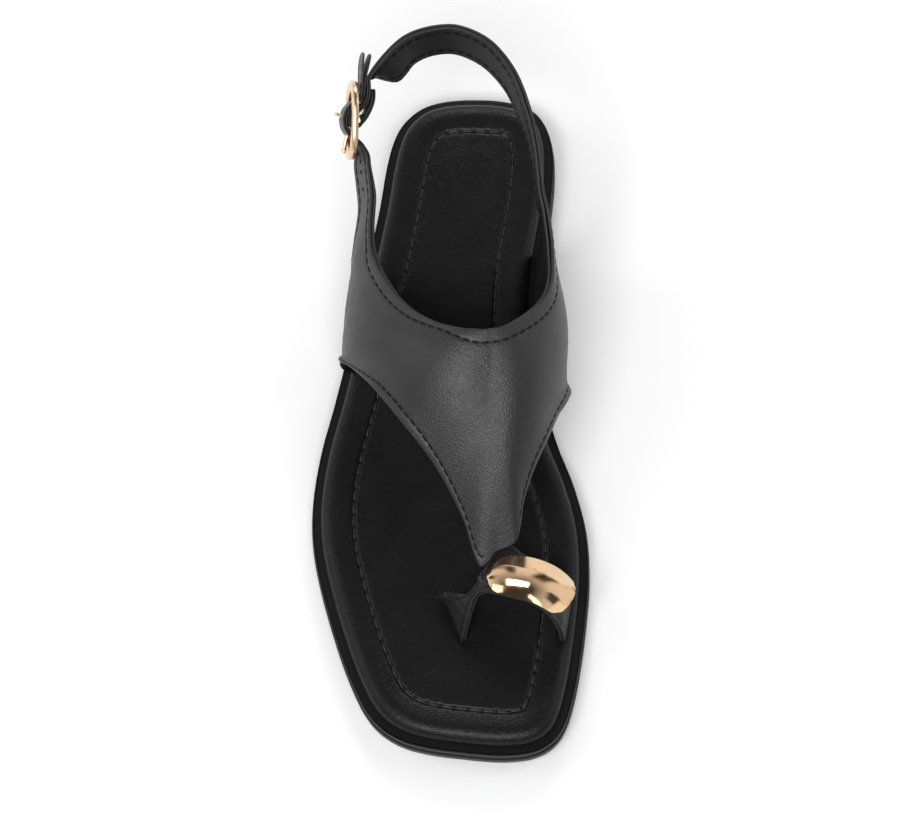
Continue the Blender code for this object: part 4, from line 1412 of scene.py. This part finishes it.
# Toe loop's knot
# A narrow black lace in three small turns round the top of the outer leg, beside the cuff.
knot_spot = 0.335
knot_turns = [
    # long radius, short radius, tilt in degrees, shift along the loop
    (0.0019, 0.0014, 24.0, -0.0004), (0.0019, 0.0014, -26.0, 0.0005), (0.0015, 0.0011, 80.0, 0.0),
]
lace_radius = 0.00042
lace_steps = 24
lace_sides = 10

knot_middle = loop_point(knot_spot, 0.12)
knot_run = (loop_point(knot_spot + 0.02, 0.1) - loop_point(knot_spot - 0.02, 0.1)).normalized()
knot_across = (loop_point(knot_spot, 1.0) - loop_point(knot_spot, 0.0)).normalized()
knot_out = knot_across.cross(knot_run).normalized()
knot_shape = bmesh.new()
for long_radius, short_radius, tilt, shift in knot_turns:
    angle = math.radians(tilt)
    first = knot_across * math.cos(angle) + knot_run * math.sin(angle)
    axis = knot_across * -math.sin(angle) + knot_run * math.cos(angle)
    centre = knot_middle + knot_run * shift
    lace_rings = []
    for k in range(lace_steps + 1):
        turn_round = 2.0 * math.pi * k / lace_steps
        spoke = first * (long_radius * math.cos(turn_round))
        spoke += knot_out * (short_radius * math.sin(turn_round))
        away = spoke.normalized()
        lace_rings.append([
            centre + spoke + away * (lace_radius * math.cos(2.0 * math.pi * n / lace_sides))
            + axis * (1.5 * lace_radius * math.sin(2.0 * math.pi * n / lace_sides))
            for n in range(lace_sides)
        ])
    take_in(knot_shape, skinned(lace_rings))
knot = finished("toe_loop_knot", knot_shape, upper_leather)

# Toe cuff
# A cast and polished gold coloured plate over the top of the loop. Its rear facet falls back, its
# front facet is broad and covers the loop's edge, and both meet in a ridge.
cuff_lift = 0.0003  # gap between the plate and the loop's leather
cuff_rear_steps = 6
cuff_front_steps = 14
cuff_steps = 8
cuff_under_steps = 9
loop_margin = 0.15  # shares of the loop's width looked at past its two edges
cuff_soft_edge = 0.00022
cuff_lip = 0.0005  # thickness of the plate at its two long edges
cuff_evening = 12
cuff_cover = [0.6, 0.9, 1.01, 1.01, 1.01, 1.01, 1.0, 0.92, 0.8, 0.7]  # least share of loop covered
gold_colour = (0.90, 0.61, 0.36, 1.0)
cuff_table = [
    # rear along, across, up, ridge along, across, up, hollow along, across, up, front the same
    (0.765, 0.150, 0.475, 0.766, 0.146, 0.470, 0.767, 0.145, 0.457, 0.768, 0.146, 0.437),
    (0.751, 0.167, 0.500, 0.760, 0.165, 0.513, 0.768, 0.166, 0.477, 0.776, 0.158, 0.433),
    (0.743, 0.188, 0.513, 0.754, 0.187, 0.550, 0.768, 0.196, 0.493, 0.783, 0.185, 0.426),
    (0.740, 0.222, 0.517, 0.758, 0.223, 0.573, 0.773, 0.231, 0.496, 0.789, 0.226, 0.422),
    (0.739, 0.264, 0.510, 0.761, 0.261, 0.577, 0.776, 0.268, 0.490, 0.793, 0.267, 0.415),
    (0.741, 0.307, 0.493, 0.764, 0.307, 0.567, 0.780, 0.308, 0.476, 0.795, 0.309, 0.405),
    (0.744, 0.347, 0.467, 0.767, 0.352, 0.547, 0.783, 0.351, 0.453, 0.797, 0.351, 0.388),
    (0.749, 0.388, 0.430, 0.770, 0.394, 0.510, 0.786, 0.391, 0.416, 0.800, 0.388, 0.365),
    (0.756, 0.423, 0.387, 0.773, 0.430, 0.456, 0.789, 0.423, 0.376, 0.803, 0.413, 0.341),
    (0.765, 0.447, 0.347, 0.779, 0.456, 0.383, 0.792, 0.448, 0.349, 0.805, 0.427, 0.321),
]


def steadied(line, rounds):
    """A line of points with its small steps taken out."""
    for _ in range(rounds):
        line = line[:1] + [
            (line[k - 1] + line[k] * 2.0 + line[k + 1]) * 0.25 for k in range(1, len(line) - 1)
        ] + line[-1:]
    return line


cuff_lines = [
    steadied([place(*row[n:n + 3]) for row in cuff_table], 1) for n in (0, 3, 6, 9)
]


def cuff_section(spot):
    """Closed outline of the cuff at a place along it."""
    rear, ridge, hollow, front = (blend(line, spot) for line in cuff_lines)
    points = [rear.lerp(ridge, k / cuff_rear_steps) for k in range(cuff_rear_steps)]
    knee = (hollow - ridge).length / ((hollow - ridge).length + (front - hollow).length)
    for k in range(cuff_front_steps + 1):
        t = k / cuff_front_steps
        at_ridge = (t - knee) * (t - 1.0) / knee
        at_hollow = t * (t - 1.0) / (knee * (knee - 1.0))
        at_front = t * (t - knee) / (1.0 - knee)
        points.append(ridge * at_ridge + hollow * at_hollow + front * at_front)
    return points


cuff_spots = [0.2 + 0.7 * k / 100.0 for k in range(101)]  # places round the loop near the cuff
loop_edges = [(loop_point(spot, 0.0), loop_point(spot, 1.0)) for spot in cuff_spots]


def loop_above(point):
    """Place round the loop and share across it of the loop's surface next to a point."""
    best, found = 1.0, (0.5, 0.5)
    for spot, (rear, front) in zip(cuff_spots, loop_edges):
        line = front - rear
        share = (point - rear).dot(line) / line.length_squared
        share = min(1.0 + loop_margin, max(-loop_margin, share))
        gap = (point - (rear + line * share)).length
        if gap < best:
            best, found = gap, (spot, share)
    return found


def clear_of_loop(point, least_share):
    """The cuff's front edge raised off the loop's leather, and moved out to cover it."""
    spot, share = loop_above(point)
    round_it = loop_point(spot + 0.01, share) - loop_point(spot - 0.01, share)
    out = (loop_point(spot, 1.0) - loop_point(spot, 0.0)).cross(round_it).normalized()
    skin = loop_point(spot, max(share, least_share)) + out * (loop_wall / 2.0 + cuff_lift)
    return point + out * max(0.0, (skin - point).dot(out)) if share >= least_share else skin


cuff_overs = [cuff_section(k / cuff_steps) for k in range((len(cuff_table) - 1) * cuff_steps + 1)]
cuff_feet = steadied([
    clear_of_loop(over[-1], blend(cuff_cover, k / cuff_steps)) for k, over in enumerate(cuff_overs)
], cuff_evening)
cuff_rings = []
for over, foot in zip(cuff_overs, cuff_feet):
    flat = over[-1] - over[0]
    lip = (over[cuff_rear_steps] - over[0]).project(flat)
    lip = (over[cuff_rear_steps] - over[0] - lip).normalized() * cuff_lip
    shift = foot + lip - over[-1]
    over = [
        point + shift * max(0.0, (n - cuff_rear_steps) / cuff_front_steps) ** 2
        for n, point in enumerate(over)
    ]
    heel = over[0] - lip
    under = [foot.lerp(heel, n / cuff_under_steps) for n in range(cuff_under_steps + 1)]
    cuff_rings.append(over + under)


def softened(shape, degrees, width):
    """Rounds the edges of a body that turn by more than an angle."""
    limit = math.radians(degrees)
    edges = [edge for edge in shape.edges if edge.calc_face_angle(0.0) > limit]
    bmesh.ops.bevel(
        shape, geom=edges, offset=width, offset_type="OFFSET", segments=3, profile=0.5,
        affect="EDGES", clamp_overlap=True, material=-1,
    )
    bmesh.ops.recalc_face_normals(shape, faces=shape.faces)


def polished_gold(name, colour, roughness, wear):
    """Polished plated metal: a mirror with faint brushing and dull smears."""
    material, shader, place_node = blank_material(name)
    shader.inputs["Metallic"].default_value = 1.0
    smears = add_node(material, "ShaderNodeTexNoise", Scale=210.0, Detail=5.0, Roughness=0.6)
    join(material, place_node, "Object", smears, "Vector")
    tint = add_node(material, "ShaderNodeValToRGB")
    tint.color_ramp.elements[0].color = [c * 0.86 for c in colour[:3]] + [1.0]
    tint.color_ramp.elements[1].color = list(colour)
    join(material, smears, "Fac", tint, "Fac")
    join(material, tint, "Color", shader, "Base Color")
    dull = add_node(
        material, "ShaderNodeMapRange", From_Min=0.35, From_Max=0.75,
        To_Min=roughness, To_Max=roughness + wear,
    )
    join(material, smears, "Fac", dull, "Value")
    join(material, dull, "Result", shader, "Roughness")
    fine = add_node(material, "ShaderNodeTexNoise", Scale=1400.0, Detail=2.0)
    join(material, place_node, "Object", fine, "Vector")
    brushing = add_node(material, "ShaderNodeBump", Strength=0.12, Distance=0.00002)
    join(material, fine, "Fac", brushing, "Height")
    join(material, brushing, "Normal", shader, "Normal")
    return material


cuff_shape = skinned(cuff_rings, capped=True)
softened(cuff_shape, 33.0, cuff_soft_edge)
gold = polished_gold("polished_gold", gold_colour, 0.09, 0.10)
cuff = finished("toe_cuff_plate", cuff_shape, gold, sharp=28.0)
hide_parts("toe_cuff")

# Buckle ring
# A flat oval ring of gold coloured brass with soft edges and a round centre bar, hooked to the heel
# strap's fold. The outer strap passes through it.
buckle_colour = (0.86, 0.62, 0.38, 1.0)
ring_steps = 120
ring_section = 24
ring_corner = 0.62  # how square the ring's section is: 1 is an ellipse, less is squarer
bar_steps = 12
bar_sides = 24
ring_height = end_width + 2.0 * (fit + ring_play + ring_band)


def rounded(value, power):
    """Sine or cosine of an ellipse turned into that of a squarer oval."""
    return math.copysign(abs(value) ** power, value)


def swept(points, radii, sides, way):
    """Round rod along a line of points, with a radius at each."""
    rings = []
    for k, point in enumerate(points):
        run = points[min(k + 1, len(points) - 1)] - points[max(k - 1, 0)]
        side = run.cross(way).normalized()
        up = side.cross(run).normalized()
        rings.append([
            point + side * (radii[k] * math.cos(2.0 * math.pi * n / sides))
            + up * (radii[k] * math.sin(2.0 * math.pi * n / sides))
            for n in range(sides)
        ])
    return rings


ring_rings = []
for k in range(ring_steps):
    angle = 2.0 * math.pi * k / ring_steps
    ring = []
    for n in range(ring_section):
        around = 2.0 * math.pi * n / ring_section
        inset = ring_band * (0.5 + 0.5 * rounded(math.cos(around), ring_corner))
        out = ring_thickness * 0.5 * rounded(math.sin(around), ring_corner)
        run = (ring_length / 2.0 - inset) * rounded(math.cos(angle), ring_square)
        up = (ring_height / 2.0 - inset) * rounded(math.sin(angle), ring_square)
        ring.append(at_ring(run, out, up))
    ring_rings.append(ring)
ring_rings.append(ring_rings[0])
ring_shape = skinned(ring_rings)
bar_ends = 0.5 * (ring_height - ring_band)
bar_points = [
    at_ring(0.0, -bar_back, bar_ends * (2.0 * k / bar_steps - 1.0)) for k in range(bar_steps + 1)
]
bar_rings = swept(bar_points, [bar_radius] * len(bar_points), bar_sides, ring_run)
take_in(ring_shape, skinned(bar_rings, capped=True))
buckle_gold = polished_gold("buckle_gold", buckle_colour, 0.24, 0.10)
ring = finished("buckle_ring_brass", ring_shape, buckle_gold, sharp=50.0)
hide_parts("buckle_ring")

# Buckle prong
# Round wire bent round the centre bar. It comes out through the strap's hole and rests on the
# ring's front end with a small ball tip. A small pin of the same brass stands out of the strap.
prong_radius = 0.00075
prong_sides = 20
prong_line_steps = 6  # points between two of the prong's way
prong_evening = 30
prong_ball = 1.25  # the tip's radius in radii of the wire
pin_foot = (0.0014, 0.0028)  # distance along and out from the ring of the small pin's two ends
pin_head = (0.0022, 0.0064)
pin_radii = [0.00045] * 6 + [0.00062, 0.00062, 0.00020]


def prong_path():
    """Way of the prong: round the bar, out through the strap and onto the ring's front end."""
    radius = bar_radius + fit + prong_radius
    points = []
    for degrees in range(-60, 136, 15):
        angle = math.radians(degrees)
        points.append(at_ring(radius * math.cos(angle), radius * math.sin(angle) - bar_back))
    points.append(at_ring(-0.50 * eye_half, 1.06 * end_layer - bar_back))
    points.append(at_ring(-0.80 * eye_half, 1.42 * end_layer))
    tip_out = ring_thickness / 2.0 + fit + 1.35 * prong_radius
    points.append(at_ring(-eye_half - 0.45 * ring_band, tip_out))
    return points


prong_way = prong_path()
prong_spots = range(prong_line_steps * (len(prong_way) - 1) + 1)
prong_line = [blend(prong_way, k / prong_line_steps) for k in prong_spots]
prong_line = steadied(prong_line, prong_evening)
prong_reach = reaches(prong_line)
prong_radii = []
for reach in prong_reach:
    to_tip = prong_reach[-1] - reach
    ball = prong_radius * prong_ball
    radius = prong_radius
    if to_tip < 2.0 * ball:
        radius = max(0.0, ball * ball - (to_tip - ball) ** 2) ** 0.5
        radius = max(radius, 0.08 * ball if to_tip < ball else prong_radius)
    prong_radii.append(radius)
prong_shape = skinned(swept(prong_line, prong_radii, prong_sides, ring_up), capped=True)
pin_line = [
    at_ring(*pin_foot).lerp(at_ring(*pin_head), k / (len(pin_radii) - 1))
    for k in range(len(pin_radii))
]
take_in(prong_shape, skinned(swept(pin_line, pin_radii, prong_sides, ring_up), capped=True))
prong = finished("buckle_prong_wire", prong_shape, buckle_gold, sharp=50.0)
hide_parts("buckle_prong")
